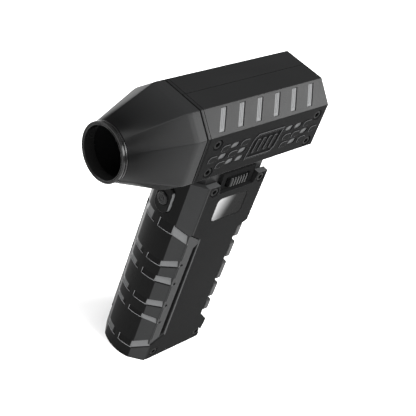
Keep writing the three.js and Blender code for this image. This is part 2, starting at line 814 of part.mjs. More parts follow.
function sidePlate(side) {
  const inner = handleHalf - plateThick;
  let plate = alongY(outline(plateOutline()), -handleHalf, -inner);
  for (const x of plateScrewX) {
    for (const z of plateScrewZ) {
      plate = plate.subtract(screwHole(handleHalf, plateBoreDepth, -inner, x, z));
    }
  }
  if (side < 0) plate = plate.subtract(alongY(windowShape(0), -handleHalf - overCut, -inner + overCut));
  return side < 0 ? geometryOf(plate) : acrossY(geometryOf(plate));
}

function handleShell(side) {
  const bottom = handleBottom + baseThick + fitGap;
  let core = alongZ(outline(coreOutline(0)), bottom, neckTop);
  const [outer, inner] = [-coreHalf - sliderHousingProud, -coreHalf + coreWall / 2];
  core = core.add(block(sliderHousingFront, sliderHousingRear, outer, inner, notchLedge + fitGap, neckTop));
  core = core.subtract(alongZ(outline(coreOutline(coreWall)), bottom - overCut, neckTop - roofThick));
  for (const x of plateScrewX) {
    for (const z of plateScrewZ) {
      const far = Math.min(x + bossHalf, coreRear - coreWall / 2);
      const low = Math.max(z - bossHalf, bottom);
      const bossEnd = coreHalf - 2 * coreWall;
      core = core.add(block(x - bossHalf, far, inner, -bossEnd, low, z + bossHalf));
      core = core.add(block(x - bossHalf, far, bossEnd, -inner, low, z + bossHalf));
      core = core.subtract(rodY(screwHoleRadius, -handleHalf, handleHalf, x, z, shankSides));
    }
  }
  const stemHole = buttonStemRadius + slideGap;
  core = core.subtract(rodX(stemHole, coreFront - overCut, coreFront + coreWall + overCut, buttonZ));
  const past = -coreInner + overCut;
  core = core.subtract(block(slotFront, slotRear, -handleHalf, past, slotBottom, slotTop));
  const edge = moduleEdge - fitGap;
  core = core.subtract(block(windowFront + edge, windowRear - edge, -handleHalf, past,
    windowBottom + edge, windowTop - edge));
  core = core.subtract(rodZ(wireHole, neckTop - roofThick - overCut, neckTop + overCut, wireX, 0));
  return geometryOf(core.intersect(halfSpace(side)));
}

function baseCap() {
  const cap = alongZ(outline(coreOutline(0)), handleBottom, handleBottom + baseThick);
  const [x, y] = [usbWidth / 2 + fitGap, usbThick / 2 + fitGap];
  const top = handleBottom + baseThick;
  const socket = block(usbX - x, usbX + x, -y, y, handleBottom - overCut, top + overCut);
  return geometryOf(cap.subtract(socket));
}

function rearGrip() {
  const start = coreRear + fitGap;
  const low = handleBottom + plateTaper;
  let grip = block(start, start + rearStripThick, -coreHalf, coreHalf, low, rearStripTop);
  const half = handleHalf - rearPadSink;
  const padEnd = plateRear + rearPadProud;
  for (const [padTop, padLow] of rearPads) {
    grip = grip.add(block(rearPadX, padEnd, -half, half, handleBottom + padLow, handleBottom + padTop));
  }
  const core = alongZ(outline(coreOutline(-fitGap)), handleBottom - overCut, neckTop + overCut);
  return geometryOf(grip.subtract(core));
}

// controls
function buttonBezel() {
  const seat = bezelFace + bezelLip;
  const foot = frontX + coverWall - bezelFootGap;
  const body = alongX(bezelShape(bezelHalf, bezelStraight), bezelFace, foot);
  const hole = rodX(buttonRadius + slideGap, bezelFace - overCut, coreFront, buttonZ);
  const pocket = rodX(buttonRadius + buttonFlange + slideGap, seat, coreFront, buttonZ);
  return geometryOf(body.subtract(hole).subtract(pocket));
}

function powerButton() {
  const seat = bezelFace + bezelLip + fitGap / 2;
  const cap = rodX(buttonRadius, buttonFace, seat + buttonFlangeThick, buttonZ);
  const flange = rodX(buttonRadius + buttonFlange, seat, seat + buttonFlangeThick, buttonZ);
  const stem = rodX(buttonStemRadius, seat, stemEnd, buttonZ, rodSides);
  return geometryOf(cap.add(flange).add(stem));
}

function buttonSwitch() {
  const start = stemEnd + buttonTravel + tactRest;
  const front = start + tactCapLength;
  const half = tactSize / 2;
  const body = block(front, front + tactThick, -half, half, buttonZ - half, buttonZ + half);
  return geometryOf(body.add(rodX(buttonStemRadius + tactCapWider, start, front + tactCapRoot, buttonZ)));
}

const sliderFront = slotFront + sliderTravel + slideGap;
const sliderRear = slotRear - sliderTravel - slideGap;

function speedSlider() {
  const face = coreHalf + sliderHousingProud + sliderProud;
  const root = -coreInner + sliderRoot;
  let slider = block(sliderFront, sliderRear, -face, root, slotBottom + slideGap, slotTop - slideGap);
  const pitch = (sliderRear - sliderFront) / sliderRibs;
  for (let i = 0; i < sliderRibs; i += 1) {
    const middle = sliderFront + pitch * (i + 0.5);
    slider = slider.subtract(block(middle - pitch / 4, middle + pitch / 4,
      -face - overCut, -face + ribDepth, slotBottom - overCut, slotTop + overCut));
  }
  return geometryOf(slider);
}

function slideSwitch() {
  const near = -coreInner + sliderRoot + fitGap;
  const [low, high] = [slotBottom + slideBodyInset[0], slotTop - slideBodyInset[1]];
  return geometryOf(block(slotFront, slotRear, near, near + slideBodyDepth, low, high));
}

// display
function displayLens() {
  const face = -handleHalf + lensSink;
  return geometryOf(alongY(windowShape(fitGap / 2), face, face + lensThick));
}

function displayModule() {
  const [front, rear] = [windowFront + moduleEdge, windowRear - moduleEdge];
  return geometryOf(block(front, rear, -coreHalf, -coreHalf + moduleThick,
    windowBottom + moduleEdge, windowTop - moduleEdge));
}

// battery, boards and wiring
function batteryCell(number) {
  const x = cellX[number];
  const top = cellBottom + cellLength;
  const body = rodZ(cellRadius, cellBottom, top, x, 0);
  return geometryOf(body.add(rodZ(cellTipRadius, cellBottom, top + cellTipLength, x, 0)));
}

function batteryCradle() {
  const bottom = cellBottom - fitGap - cradleFloor;
  const top = bottom + cradleHeight;
  const half = coreInner - fitGap;
  let cradle = block(coreFront + coreWall + fitGap, rearInner - fitGap, -half, half, bottom, top);
  for (const x of cellX) {
    cradle = cradle.subtract(rodZ(cellRadius + fitGap, cellBottom - fitGap, top + overCut, x, 0));
  }
  const corner = alongZ(outline(coreOutline(coreWall + fitGap)), bottom - overCut, top + overCut);
  return geometryOf(cradle.intersect(corner));
}

function controlBoard() {
  const [front, rear] = [coreFront + coreWall + boardFrontClear, rearInner - boardRearClear];
  let board = block(front, rear, boardY, boardY + boardThick, boardBottom, boardTop);
  const low = boardBottom + chipSize;
  for (const x of [usbX, usbX + 2 * chipSize]) {
    board = board.add(block(x - chipSize / 2, x + chipSize / 2, boardY - chipThick, boardY + boardThick / 2,
      low, low + chipSize));
  }
  return geometryOf(board);
}

function usbSocket() {
  const [x, y] = [usbWidth / 2, usbThick / 2];
  const high = usbLow + usbDepth;
  const body = block(usbX - x, usbX + x, -y, y, usbLow, high);
  const [mouthX, mouthY] = [x - usbShell, y - usbShell];
  const mouth = block(usbX - mouthX, usbX + mouthX, -mouthY, mouthY, usbLow - overCut, high - 2 * usbShell);
  const [tongueX, tongueY] = [x - usbTongueInset, usbTongueThick / 2];
  const tongue = block(usbX - tongueX, usbX + tongueX, -tongueY, tongueY, usbLow + 2 * usbShell, high);
  return geometryOf(body.subtract(mouth).add(tongue));
}

function motorLeads() {
  const ring = Array.from({ length: leadSides }, (_, i) => {
    const angle = i * 2 * Math.PI / leadSides;
    return [leadRadius * Math.cos(angle), leadRadius * Math.sin(angle)];
  });
  const top = -ductBore - ductWall - fitGap;
  const beside = boardY - leadRadius - leadBoardGap;
  const stops = [[wireX, 0, top], [wireX, 0, neckTop - roofThick],
    [wireX + leadBends[0], boardY / 3, notchLedge], [wireX + leadBends[1], beside, boardTop - leadDip]];
  const route = new THREE.CatmullRomCurve3(stops.map((stop) => new THREE.Vector3(...stop)));
  const options = { steps: leadSteps, extrudePath: route, bevelEnabled: false };
  const lead = new THREE.ExtrudeGeometry(outline(ring), options);
  return geometryOf(solid(lead));
}

// finishes
const finishes = {
  shell: { color: 0x3a3b3c, roughness: 0.5, metalness: 0 },
  accent: { color: 0x77787a, roughness: 0.55, metalness: 0 },
  rubber: { color: 0x3f4041, roughness: 0.7, metalness: 0 },
  gloss: { color: 0x0b0b0c, roughness: 0.15, metalness: 0 },
  steel: { color: 0x8d9096, roughness: 0.3, metalness: 1 },
  screw: { color: 0x18181a, roughness: 0.25, metalness: 1 },
  copper: { color: 0x9c5a34, roughness: 0.4, metalness: 1 },
  board: { color: 0x1f4a33, roughness: 0.5, metalness: 0 },
  cell: { color: 0x2c5f8f, roughness: 0.4, metalness: 0 },
};

const assembly = new THREE.Group();
const lowX = -nozzleLength;
assembly.position.set(-(headLength + lowX) / 2, 0, -handleBottom);

function place(name, geometry, finish) {
  const mesh = new THREE.Mesh(geometry, new THREE.MeshStandardMaterial(finishes[finish]));
  mesh.name = name;
  assembly.add(mesh);
}

const sideNames = [['right', -1], ['left', 1]];
place('nozzle_cone', nozzleCone(), 'shell');
place('outlet_ring', outletRing(), 'gloss');
for (const [name, side] of sideNames) {
  place(`head_shell_${name}`, headShell(side), 'shell');
  place(`vent_strip_${name}`, side < 0 ? ventStrip() : acrossY(ventStrip()), 'accent');
  place(`handle_shell_${name}`, handleShell(side), 'shell');
  place(`side_plate_${name}`, sidePlate(side), 'shell');
  for (const [i, x] of headScrewX.entries()) {
    for (const [j, z] of headScrewZ.entries()) {
      const seat = headHalf - counterboreDepth + seatGap;
      place(`head_screw_${name}_${2 * i + j + 1}`, screw(seat, headScrewReach, side, x, z), 'screw');
    }
  }
  for (const [i, x] of plateScrewX.entries()) {
    for (const [j, z] of plateScrewZ.entries()) {
      const seat = handleHalf - plateBoreDepth + seatGap;
      const tip = coreHalf - 2 * coreWall;
      place(`plate_screw_${name}_${2 * i + j + 1}`, screw(seat, tip, side, x, z), 'screw');
    }
  }
}
place('rear_cap', rearCap(), 'shell');
place('intake_grille', intakeGrille(), 'gloss');
place('fan_duct', fanDuct(), 'shell');
place('guide_vane_ring', vaneRing(), 'shell');
place('tail_cone', tailCone(), 'shell');
place('motor_stator', motorStator(), 'copper');
place('motor_magnet', motorMagnet(), 'steel');
place('motor_shaft', motorShaft(), 'steel');
place('bearing_front', bearing(hubStart - fitGap + tailSpigot - bearingLength), 'steel');
place('bearing_rear', bearing(hubEnd - bearingLength), 'steel');
place('impeller', impeller(), 'accent');
place('impeller_nut', spinner(), 'steel');
place('front_cover', frontCover(), 'rubber');
place('rear_grip', rearGrip(), 'rubber');
place('base_cap', baseCap(), 'shell');
place('button_bezel', buttonBezel(), 'shell');
place('power_button', powerButton(), 'gloss');
place('button_switch', buttonSwitch(), 'gloss');
place('speed_slider', speedSlider(), 'gloss');
place('slide_switch', slideSwitch(), 'steel');
place('display_lens', displayLens(), 'gloss');
place('display_module', displayModule(), 'board');
place('battery_cell_1', batteryCell(0), 'cell');
place('battery_cell_2', batteryCell(1), 'cell');
place('battery_cradle', batteryCradle(), 'shell');
place('control_board', controlBoard(), 'board');
place('usb_c_socket', usbSocket(), 'steel');
place('motor_leads', motorLeads(), 'copper');

const blower = new THREE.Group();
blower.add(assembly);
export default blower;
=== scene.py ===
import json
import math

import bpy
from mathutils import Matrix, Vector

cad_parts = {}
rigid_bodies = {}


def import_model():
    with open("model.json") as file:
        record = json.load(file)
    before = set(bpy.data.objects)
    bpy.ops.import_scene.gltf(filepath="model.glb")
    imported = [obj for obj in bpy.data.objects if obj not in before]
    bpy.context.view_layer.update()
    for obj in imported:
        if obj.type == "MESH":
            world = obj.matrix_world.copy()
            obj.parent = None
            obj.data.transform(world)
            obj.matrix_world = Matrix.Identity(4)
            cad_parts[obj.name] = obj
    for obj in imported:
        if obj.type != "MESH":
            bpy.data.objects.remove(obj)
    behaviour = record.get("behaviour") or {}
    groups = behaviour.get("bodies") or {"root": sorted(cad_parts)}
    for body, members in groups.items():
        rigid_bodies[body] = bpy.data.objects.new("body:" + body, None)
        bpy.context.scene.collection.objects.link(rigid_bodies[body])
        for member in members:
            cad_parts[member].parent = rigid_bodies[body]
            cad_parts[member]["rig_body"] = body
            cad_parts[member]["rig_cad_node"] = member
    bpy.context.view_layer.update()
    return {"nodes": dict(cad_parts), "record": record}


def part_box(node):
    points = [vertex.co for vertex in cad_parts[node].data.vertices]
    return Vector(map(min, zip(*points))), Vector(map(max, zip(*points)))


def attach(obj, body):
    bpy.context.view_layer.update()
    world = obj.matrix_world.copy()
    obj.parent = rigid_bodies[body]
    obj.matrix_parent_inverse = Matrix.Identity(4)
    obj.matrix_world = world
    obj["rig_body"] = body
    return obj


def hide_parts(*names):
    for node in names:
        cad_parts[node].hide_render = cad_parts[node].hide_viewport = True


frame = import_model()
mm = 0.001

# the air axis crosses the joint of nozzle and head here, and every size below is in mm from there
headLow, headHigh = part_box("head_shell_left")
shadowGap = 0.5
axisStart = Vector((headLow.x - shadowGap * mm, 0, (headLow.z + headHigh.z) / 2))


def spot(x, y, z):
    return axisStart + Vector((x, y, z)) * mm


# shaping meshes
def deselectAll():
    if bpy.context.object and bpy.context.object.mode != "OBJECT":
        bpy.ops.object.mode_set(mode="OBJECT")
    bpy.ops.object.select_all(action="DESELECT")


def useOnly(piece):
    deselectAll()
    piece.select_set(True)
    bpy.context.view_layer.objects.active = piece


def settle(piece):
    useOnly(piece)
    bpy.ops.object.transform_apply(location=True, rotation=True, scale=True)
    return piece


def named(name):
    piece = bpy.context.object
    piece.name = name
    return piece


def addBlock(name, low, high):
    a, b = spot(*low), spot(*high)
    deselectAll()
    bpy.ops.mesh.primitive_cube_add(size=1, location=(a + b) / 2)
    piece = named(name)
    piece.scale = b - a
    return settle(piece)


def addRod(name, axis, radius, start, end, across=(0, 0), sides=48):
    turn = {"x": (0, math.pi / 2, 0), "y": (math.pi / 2, 0, 0), "z": (0, 0, 0)}[axis]
    middle = (start + end) / 2
    place = {"x": (middle, *across), "y": (across[0], middle, across[1]), "z": (*across, middle)}[axis]
    deselectAll()
    bpy.ops.mesh.primitive_cylinder_add(vertices=sides, radius=radius * mm, depth=(end - start) * mm,
                                        location=spot(*place), rotation=turn)
    return settle(named(name))


def editMesh(piece, *steps):
    useOnly(piece)
    bpy.ops.object.mode_set(mode="EDIT")
    bpy.ops.mesh.select_all(action="SELECT")
    for step in steps:
        step()
    bpy.ops.object.mode_set(mode="OBJECT")
    return piece


def sliceOff(piece, point, normal):      # takes away what lies on the normal's side of the plane
    return editMesh(piece, lambda: bpy.ops.mesh.bisect(
        plane_co=spot(*point), plane_no=Vector(normal).normalized(), use_fill=True, clear_outer=True,
        threshold=1e-7))


def trimmedBlock(name, low, high, cuts):
    piece = addBlock(name, low, high)
    for point, normal in cuts:
        sliceOff(piece, point, normal)
    return piece


def roundedBlock(name, low, high, radius, axis="y", segments=10):
    piece = addBlock(name, low, high)
    pickEdges(piece, lambda a, b: abs(getattr(a - b, axis)) > 0.01)
    bevelPicked(radius, segments)
    return piece


def cleanMesh(piece):
    return editMesh(piece, lambda: bpy.ops.mesh.remove_doubles(threshold=1e-6),
                    lambda: bpy.ops.mesh.normals_make_consistent(inside=False))


def pickEdges(piece, wanted):
    useOnly(piece)
    bpy.ops.object.mode_set(mode="EDIT")
    bpy.ops.mesh.select_mode(type="EDGE")
    bpy.ops.mesh.select_all(action="DESELECT")
    bpy.ops.object.mode_set(mode="OBJECT")
    mesh = piece.data
    for edge in mesh.edges:
        a, b = (mesh.vertices[i].co for i in edge.vertices)
        edge.select = wanted((a - axisStart) / mm, (b - axisStart) / mm)
    bpy.ops.object.mode_set(mode="EDIT")


def pickFaces(piece, wanted):
    useOnly(piece)
    bpy.ops.object.mode_set(mode="EDIT")
    bpy.ops.mesh.select_mode(type="FACE")
    bpy.ops.mesh.select_all(action="DESELECT")
    bpy.ops.object.mode_set(mode="OBJECT")
    for face in piece.data.polygons:
        face.select = wanted((face.center - axisStart) / mm, face.normal)
    bpy.ops.object.mode_set(mode="EDIT")


def bevelPicked(width, segments=1):
    bpy.ops.mesh.bevel(offset=width * mm, segments=segments, affect="EDGES")
    bpy.ops.object.mode_set(mode="OBJECT")


def applyModifiers(piece):
    useOnly(piece)
    for modifier in list(piece.modifiers):
        bpy.ops.object.modifier_apply(modifier=modifier.name)
    return piece


def joined(pieces):
    useOnly(pieces[0])
    for piece in pieces:
        piece.select_set(True)
    if len(pieces) > 1:
        bpy.ops.object.join()
    return pieces[0]


def combine(piece, others, how):
    for other in others:
        modifier = piece.modifiers.new("combine", "BOOLEAN")
        modifier.operation = how
        modifier.solver = "EXACT"
        modifier.object = other
        applyModifiers(piece)
        bpy.data.objects.remove(other)
    return piece


def carve(piece, others):
    return combine(piece, others, "DIFFERENCE")


def fuse(piece, others):
    return combine(piece, others, "UNION")


def keepInside(piece, other):
    return combine(piece, [other], "INTERSECT")


def softEdges(piece, width, segments=2, angle=30):
    modifier = piece.modifiers.new("soft edges", "BEVEL")
    modifier.width = width * mm
    modifier.segments = segments
    modifier.limit_method = "ANGLE"
    modifier.angle_limit = math.radians(angle)
    modifier.use_clamp_overlap = True
    applyModifiers(piece)
    return piece


def smoothed(piece, angle=35):           # rounds the shading but keeps wide faces flat
    useOnly(piece)
    bpy.ops.object.shade_smooth_by_angle(angle=math.radians(angle))
    modifier = piece.modifiers.new("flat faces", "WEIGHTED_NORMAL")
    modifier.keep_sharp = True
    applyModifiers(piece)
    return piece


def copied(piece, name):
    copy = piece.copy()
    copy.data = piece.data.copy()
    copy.name = name
    bpy.context.scene.collection.objects.link(copy)
    return copy


def refined(node, name, width):          # a merged copy of a frame part with its edges softened
    piece = copied(frame["nodes"][node], name)
    piece.parent = None
    del piece["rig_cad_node"], piece["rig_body"]
    editMesh(piece, lambda: bpy.ops.mesh.remove_doubles(threshold=1e-6),
             lambda: bpy.ops.mesh.dissolve_limited(angle_limit=math.radians(1)))
    return smoothed(softEdges(piece, width))


def mirrored(piece, name):               # the same piece on the other side of y = 0
    copy = copied(piece, name)
    copy.data.transform(Matrix.Scale(-1, 4, (0, 1, 0)))
    copy.data.flip_normals()
    return copy


def moved(piece, x=0, y=0, z=0):
    piece.data.transform(Matrix.Translation(Vector((x, y, z)) * mm))
    return piece


def turnedAbout(piece, axis, angle, point=(0, 0, 0)):
    centre = spot(*point)
    turn = Matrix.Translation(centre) @ Matrix.Rotation(angle, 4, axis) @ Matrix.Translation(-centre)
    piece.data.transform(turn)
    return piece


# finishes
class Wire:                              # an output of a shader node that can be added and multiplied
    def __init__(self, paint, socket):
        self.paint = paint
        self.socket = socket

    def maths(self, operation, first, second):
        return self.paint.add("ShaderNodeMath", {"operation": operation}, [first, second])

    def __add__(self, other):
        return self.maths("ADD", self, other)

    __radd__ = __add__

    def __mul__(self, other):
        return self.maths("MULTIPLY", self, other)

    def __sub__(self, other):
        return self.maths("SUBTRACT", self, other)


class Paint:
    def __init__(self, name):
        self.material = bpy.data.materials.new(name)
        self.material.use_nodes = True
        self.tree = self.material.node_tree
        self.tree.nodes.clear()
        self.surface = self.tree.nodes.new("ShaderNodeBsdfPrincipled")
        output = self.tree.nodes.new("ShaderNodeOutputMaterial")
        self.tree.links.new(self.surface.outputs["BSDF"], output.inputs["Surface"])
        self.place = self.add("ShaderNodeTexCoord", out="Object")

    def feed(self, socket, value):
        if isinstance(value, Wire):
            self.tree.links.new(value.socket, socket)
        else:
            socket.default_value = value

    def add(self, kind, settings=None, inputs=(), out=0):
        node = self.tree.nodes.new(kind)
        for key, value in (settings or {}).items():
            if key == "stops":
                ramp = node.color_ramp
                while len(ramp.elements) < len(value):
                    ramp.elements.new(1)
                for element, (position, colour) in zip(ramp.elements, value):
                    element.position = position
                    element.color = colour
            else:
                setattr(node, key, value)
        pairs = inputs.items() if isinstance(inputs, dict) else enumerate(inputs)
        for key, value in pairs:
            self.feed(node.inputs[key], value)
        return Wire(self, node.outputs[out])

    def noise(self, scale, detail=3, roughness=0.55, place=None):
        return self.add("ShaderNodeTexNoise", {}, {"Vector": place or self.place, "Scale": scale,
                        "Detail": detail, "Roughness": roughness}, out="Fac")

    def ramp(self, value, low, high):
        return self.add("ShaderNodeMapRange", {"clamp": True},
                        {"Value": value, "From Min": low, "From Max": high})

    def mixed(self, share, first, second):
        node = self.tree.nodes.new("ShaderNodeMix")
        node.data_type = "RGBA"
        self.feed(node.inputs["Factor"], share)
        self.feed(node.inputs[6], first)
        self.feed(node.inputs[7], second)
        return Wire(self, node.outputs[2])

    def bump(self, height, depth):
        return self.add("ShaderNodeBump", {}, {"Height": height, "Distance": depth * mm, "Strength": 1.0},
                        out="Normal")

    def set(self, **values):
        for key, value in values.items():
            self.feed(self.surface.inputs[key.replace("_", " ")], value)
        return self.material


def grey(level, tint=0.0):
    return (level, level * (1 + tint / 2), level * (1 + tint), 1)


plasticLook = {"grain": 2600, "fineGrain": 9000, "patch": 60, "speck": 5200}


# moulded plastic: fine spark-eroded grain, faint patches of handling, a few pale specks
def mouldedPlastic(name, level, roughness, grainDepth, index=1.16, tint=0.03, paintedShadeSpan=None):
    paint = Paint(name)
    grain = paint.noise(plasticLook["grain"], 4, 0.65)
    fine = paint.noise(plasticLook["fineGrain"], 2)
    patch = paint.noise(plasticLook["patch"], 3)
    speck = paint.ramp(paint.noise(plasticLook["speck"], 1), 0.6, 0.8)
    shade = paint.mixed(grain, grey(level * 0.82, tint), grey(level * 1.2, tint))
    shade = paint.mixed(speck * 0.35, shade, grey(min(1, level * 2.2), tint))
    shade = paint.mixed(paint.ramp(patch, 0.35, 0.75) * 0.3, shade, grey(level * 1.25, tint))
    if paintedShadeSpan:                             # painted shade: darker towards the low end of this stretch of x
        along = paint.add("ShaderNodeSeparateXYZ", {}, [paint.place], out="X")
        shade = paint.mixed(paint.ramp(along, *paintedShadeSpan), grey(level * 0.25, tint), shade)
    rough = roughness + patch * 0.1 + grain * 0.08 - 0.09
    normal = paint.bump(grain * 0.65 + fine * 0.35, grainDepth)
    return paint.set(Base_Color=shade, Roughness=rough, Normal=normal, Specular_IOR_Level=0.5, IOR=index)


# polished black: smudges and very shallow hair scratches
def polishedBlack(name, level, roughness):
    paint = Paint(name)
    smudge = paint.noise(90, 4)
    hair = paint.noise(1400, 6, 0.75)
    rough = roughness + paint.ramp(smudge, 0.45, 0.8) * 0.07 + hair * 0.05
    shade = paint.mixed(smudge, grey(level), grey(level * 1.6))
    normal = paint.bump(hair, 0.002)
    return paint.set(Base_Color=shade, Roughness=rough, Normal=normal, IOR=1.22, Specular_IOR_Level=0.5)


# metal: fine rings from the turning, worn in places
def turnedMetal(name, level, roughness, tint=0.0):
    paint = Paint(name)
    stretch = paint.add("ShaderNodeMapping", {}, {"Vector": paint.place, "Scale": (1, 0.08, 0.08)})
    rings = paint.noise(6000, 3, place=stretch)
    wear = paint.noise(300, 4)
    shade = paint.mixed(wear, grey(level * 0.75, tint), grey(level * 1.1, tint))
    rough = roughness + wear * 0.15 + rings * 0.08 - 0.08
    return paint.set(Base_Color=shade, Roughness=rough, Metallic=1.0, Normal=paint.bump(rings, 0.006))


def gripRubber(name, level):
    paint = Paint(name)
    pebble = paint.add("ShaderNodeTexVoronoi", {}, {"Vector": paint.place, "Scale": 1700}, out="Distance")
    dust = paint.noise(140, 5)
    shade = paint.mixed(dust, grey(level * 0.8), grey(level * 1.35))
    rough = 0.62 + dust * 0.2
    normal = paint.bump(pebble, 0.05)
    return paint.set(Base_Color=shade, Roughness=rough, Normal=normal, Specular_IOR_Level=0.3)


# the display glass, with a painted reflection: a pale diagonal band clears to black
def paintedReflectionGlass(name, low, high):
    paint = Paint(name)
    parts = paint.add("ShaderNodeSeparateXYZ", {}, [paint.place], out="X")
    lift = Wire(paint, parts.socket.node.outputs["Z"])
    across = paint.ramp(parts, low.x, high.x)
    up = paint.ramp(lift, low.z, high.z)
    slant = across * 0.85 - up * 0.2 + 0.2
    band = paint.add("ShaderNodeValToRGB", {"stops": [
        (0.0, grey(0.26)), (0.14, grey(0.2)), (0.3, grey(0.1)), (0.46, grey(0.025)), (0.54, grey(0.004)),
        (1.0, grey(0.002))]}, [slant])
    haze = paint.noise(220, 3)
    shade = paint.mixed(haze * 0.12, band, grey(0.02))
    rough = 0.22 + haze * 0.06
    return paint.set(Base_Color=shade, Roughness=rough, IOR=1.06, Specular_IOR_Level=0.5)


def boardGreen(name):
    paint = Paint(name)
    mask = paint.noise(700, 2)
    tracks = paint.add("ShaderNodeTexBrick", {}, {"Vector": paint.place, "Scale": 420,
                       "Color1": (0.01, 0.06, 0.03, 1), "Color2": (0.012, 0.08, 0.04, 1),
                       "Mortar": (0.02, 0.14, 0.07, 1)}, out="Color")
    return paint.set(Base_Color=tracks, Roughness=0.35 + mask * 0.2)


def cellSleeve(name):
    paint = Paint(name)
    wrinkle = paint.noise(500, 5)
    shade = paint.mixed(wrinkle, (0.02, 0.08, 0.2, 1), (0.03, 0.13, 0.3, 1))
    return paint.set(Base_Color=shade, Roughness=0.3 + wrinkle * 0.15, Normal=paint.bump(wrinkle, 0.03))


looks = {
    "shell": mouldedPlastic("satinShell", 0.008, 0.38, 0.01),
    # the nozzle's finish carries painted shade, darker towards its tip
    "nozzle": mouldedPlastic("satinNozzleShadedTip", 0.011, 0.34, 0.01, 1.13,
                             paintedShadeSpan=(axisStart.x - 0.03, axisStart.x - 0.006)),
    # painted shade: a darker copy of the shell plastic for the side faces
    "flat": mouldedPlastic("paintedShadeSide", 0.0045, 0.42, 0.012, 1.05),
    # painted light: a lighter copy of the shell plastic for the lit slopes of the front cover
    "cover": mouldedPlastic("satinCoverPaintedLight", 0.018, 0.36, 0.01, 1.1),
    # painted shade: a near black copy for the front faces that lie away from the light
    "crown": mouldedPlastic("paintedShadeFront", 0.0025, 0.3, 0.008, 1.1),
    # grey inlay of the vent pads, also used as painted light on the band floors and as a painted highlight
    # on the button surround
    "accent": mouldedPlastic("greyInlayAndPaintedLight", 0.085, 0.42, 0.008),
    # lighter grey for the floors of the sunk cells, also used as painted light and painted highlights on
    # tops, ramps and edges that catch light
    "accentDark": mouldedPlastic("paleGreyAndPaintedLight", 0.05, 0.45, 0.008),
    "button": mouldedPlastic("buttonBlack", 0.005, 0.34, 0.006, 1.2),
    # painted highlight: pale for band edges that face up and the band ends at the spine
    "tick": mouldedPlastic("paintedHighlightEdge", 0.2, 0.4, 0.006),
    # painted shade: a darker copy of the plastic for hollows, the inside of the bore and the housing round
    # the slider
    "dark": mouldedPlastic("paintedShadeCavity", 0.004, 0.6, 0.01, 1.05),
    "gloss": polishedBlack("glossBlack", 0.005, 0.13),
    "lens": paintedReflectionGlass("paintedReflectionGlass", *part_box("display_lens")),
    "rubber": gripRubber("gripRubber", 0.02),
    "screw": mouldedPlastic("blackSteel", 0.004, 0.3, 0.004, 1.1),
    "steel": turnedMetal("brightSteel", 0.5, 0.25),
    "aluminium": turnedMetal("fanAluminium", 0.42, 0.32),
    "copper": turnedMetal("copperWire", 0.35, 0.35, tint=-0.7),
    "board": boardGreen("boardGreen"),
    "cell": cellSleeve("cellSleeve"),
}


def dressed(piece, look):
    piece.data.materials.clear()
    piece.data.materials.append(looks[look])
    return piece


def dressFaces(piece, look, wanted):     # gives a second finish to the faces that are wanted
    piece.data.materials.append(looks[look])
    last = len(piece.data.materials) - 1
    for face in piece.data.polygons:
        if wanted((face.center - axisStart) / mm, face.normal):
            face.material_index = last
    return piece


def standsFor(piece, body, *nodes):
    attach(piece, body)
    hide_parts(*nodes)
    return piece


slotOf = {part["node"]: part["material_slot"] for part in frame["record"]["subparts"]}
for nodeName, node in frame["nodes"].items():
    node.data.materials.clear()
    node.data.materials.append(looks[slotOf[nodeName]])
print("finishes ready")

# camera, light and floor
shot = {"azimuth": -55.78, "elevation": 36.22, "roll": 21.13, "distance": 491.88, "lens": 89.29,
        "target": (46.69, 0, -56.4)}


def aimedAt(item, place, target, roll=0.0):
    back = (place - target).normalized()
    item.matrix_world = Matrix.Translation(place) @ (back.to_track_quat("Z", "Y").to_matrix().to_4x4()
                                                     @ Matrix.Rotation(roll, 4, "Z"))


def fromAngles(azimuth, elevation, distance):
    a, e = math.radians(azimuth), math.radians(elevation)
    return Vector((math.sin(a) * math.cos(e), -math.cos(a) * math.cos(e), math.sin(e))) * distance


def addCamera():
    bpy.ops.object.camera_add()
    camera = named("camera")
    target = spot(*shot["target"])
    place = target + fromAngles(shot["azimuth"], shot["elevation"], shot["distance"] * mm)
    aimedAt(camera, place, target, math.radians(shot["roll"]))
    camera.data.lens = shot["lens"]
    camera.data.sensor_width = 36
    camera.data.clip_start = 0.01
    bpy.context.scene.camera = camera


def addSoftbox(name, azimuth, elevation, distance, size, watts):
    target = Vector((0, 0, 0.09))
    bpy.ops.object.light_add(type="AREA")
    light = named(name)
    light.data.shape = "RECTANGLE"
    light.data.size, light.data.size_y = size
    light.data.energy = watts
    aimedAt(light, target + fromAngles(azimuth, elevation, distance), target)


def addFloor():
    bpy.ops.mesh.primitive_plane_add(size=6)
    floor = named("studio_floor")
    paint = Paint("paleFloor")
    tone = paint.noise(3, 2)
    paint.set(Base_Color=paint.mixed(tone, grey(0.86), grey(0.88)), Roughness=0.9, Specular_IOR_Level=0.0)
    floor.data.materials.append(paint.material)


def addWorld(level):
    world = bpy.data.worlds.new("studio")
    world.use_nodes = True
    world.node_tree.nodes["Background"].inputs["Color"].default_value = (1, 1, 1, 1)
    world.node_tree.nodes["Background"].inputs["Strength"].default_value = level
    bpy.context.scene.world = world


deselectAll()
addCamera()
addFloor()
addWorld(0.12)
addSoftbox("key_softbox", 48, 27, 1.2, (0.8, 0.45), 26)
addSoftbox("nozzle_softbox", 16, 37, 1.2, (0.45, 0.4), 12)
addSoftbox("front_softbox", -62, 12, 1.1, (0.5, 0.5), 10)
addSoftbox("top_softbox", -20, 80, 1.4, (0.8, 0.8), 24)
addSoftbox("back_softbox", 205, 30, 1.3, (0.7, 0.6), 16)
bpy.context.scene.view_settings.view_transform = "Standard"
print("studio ready")

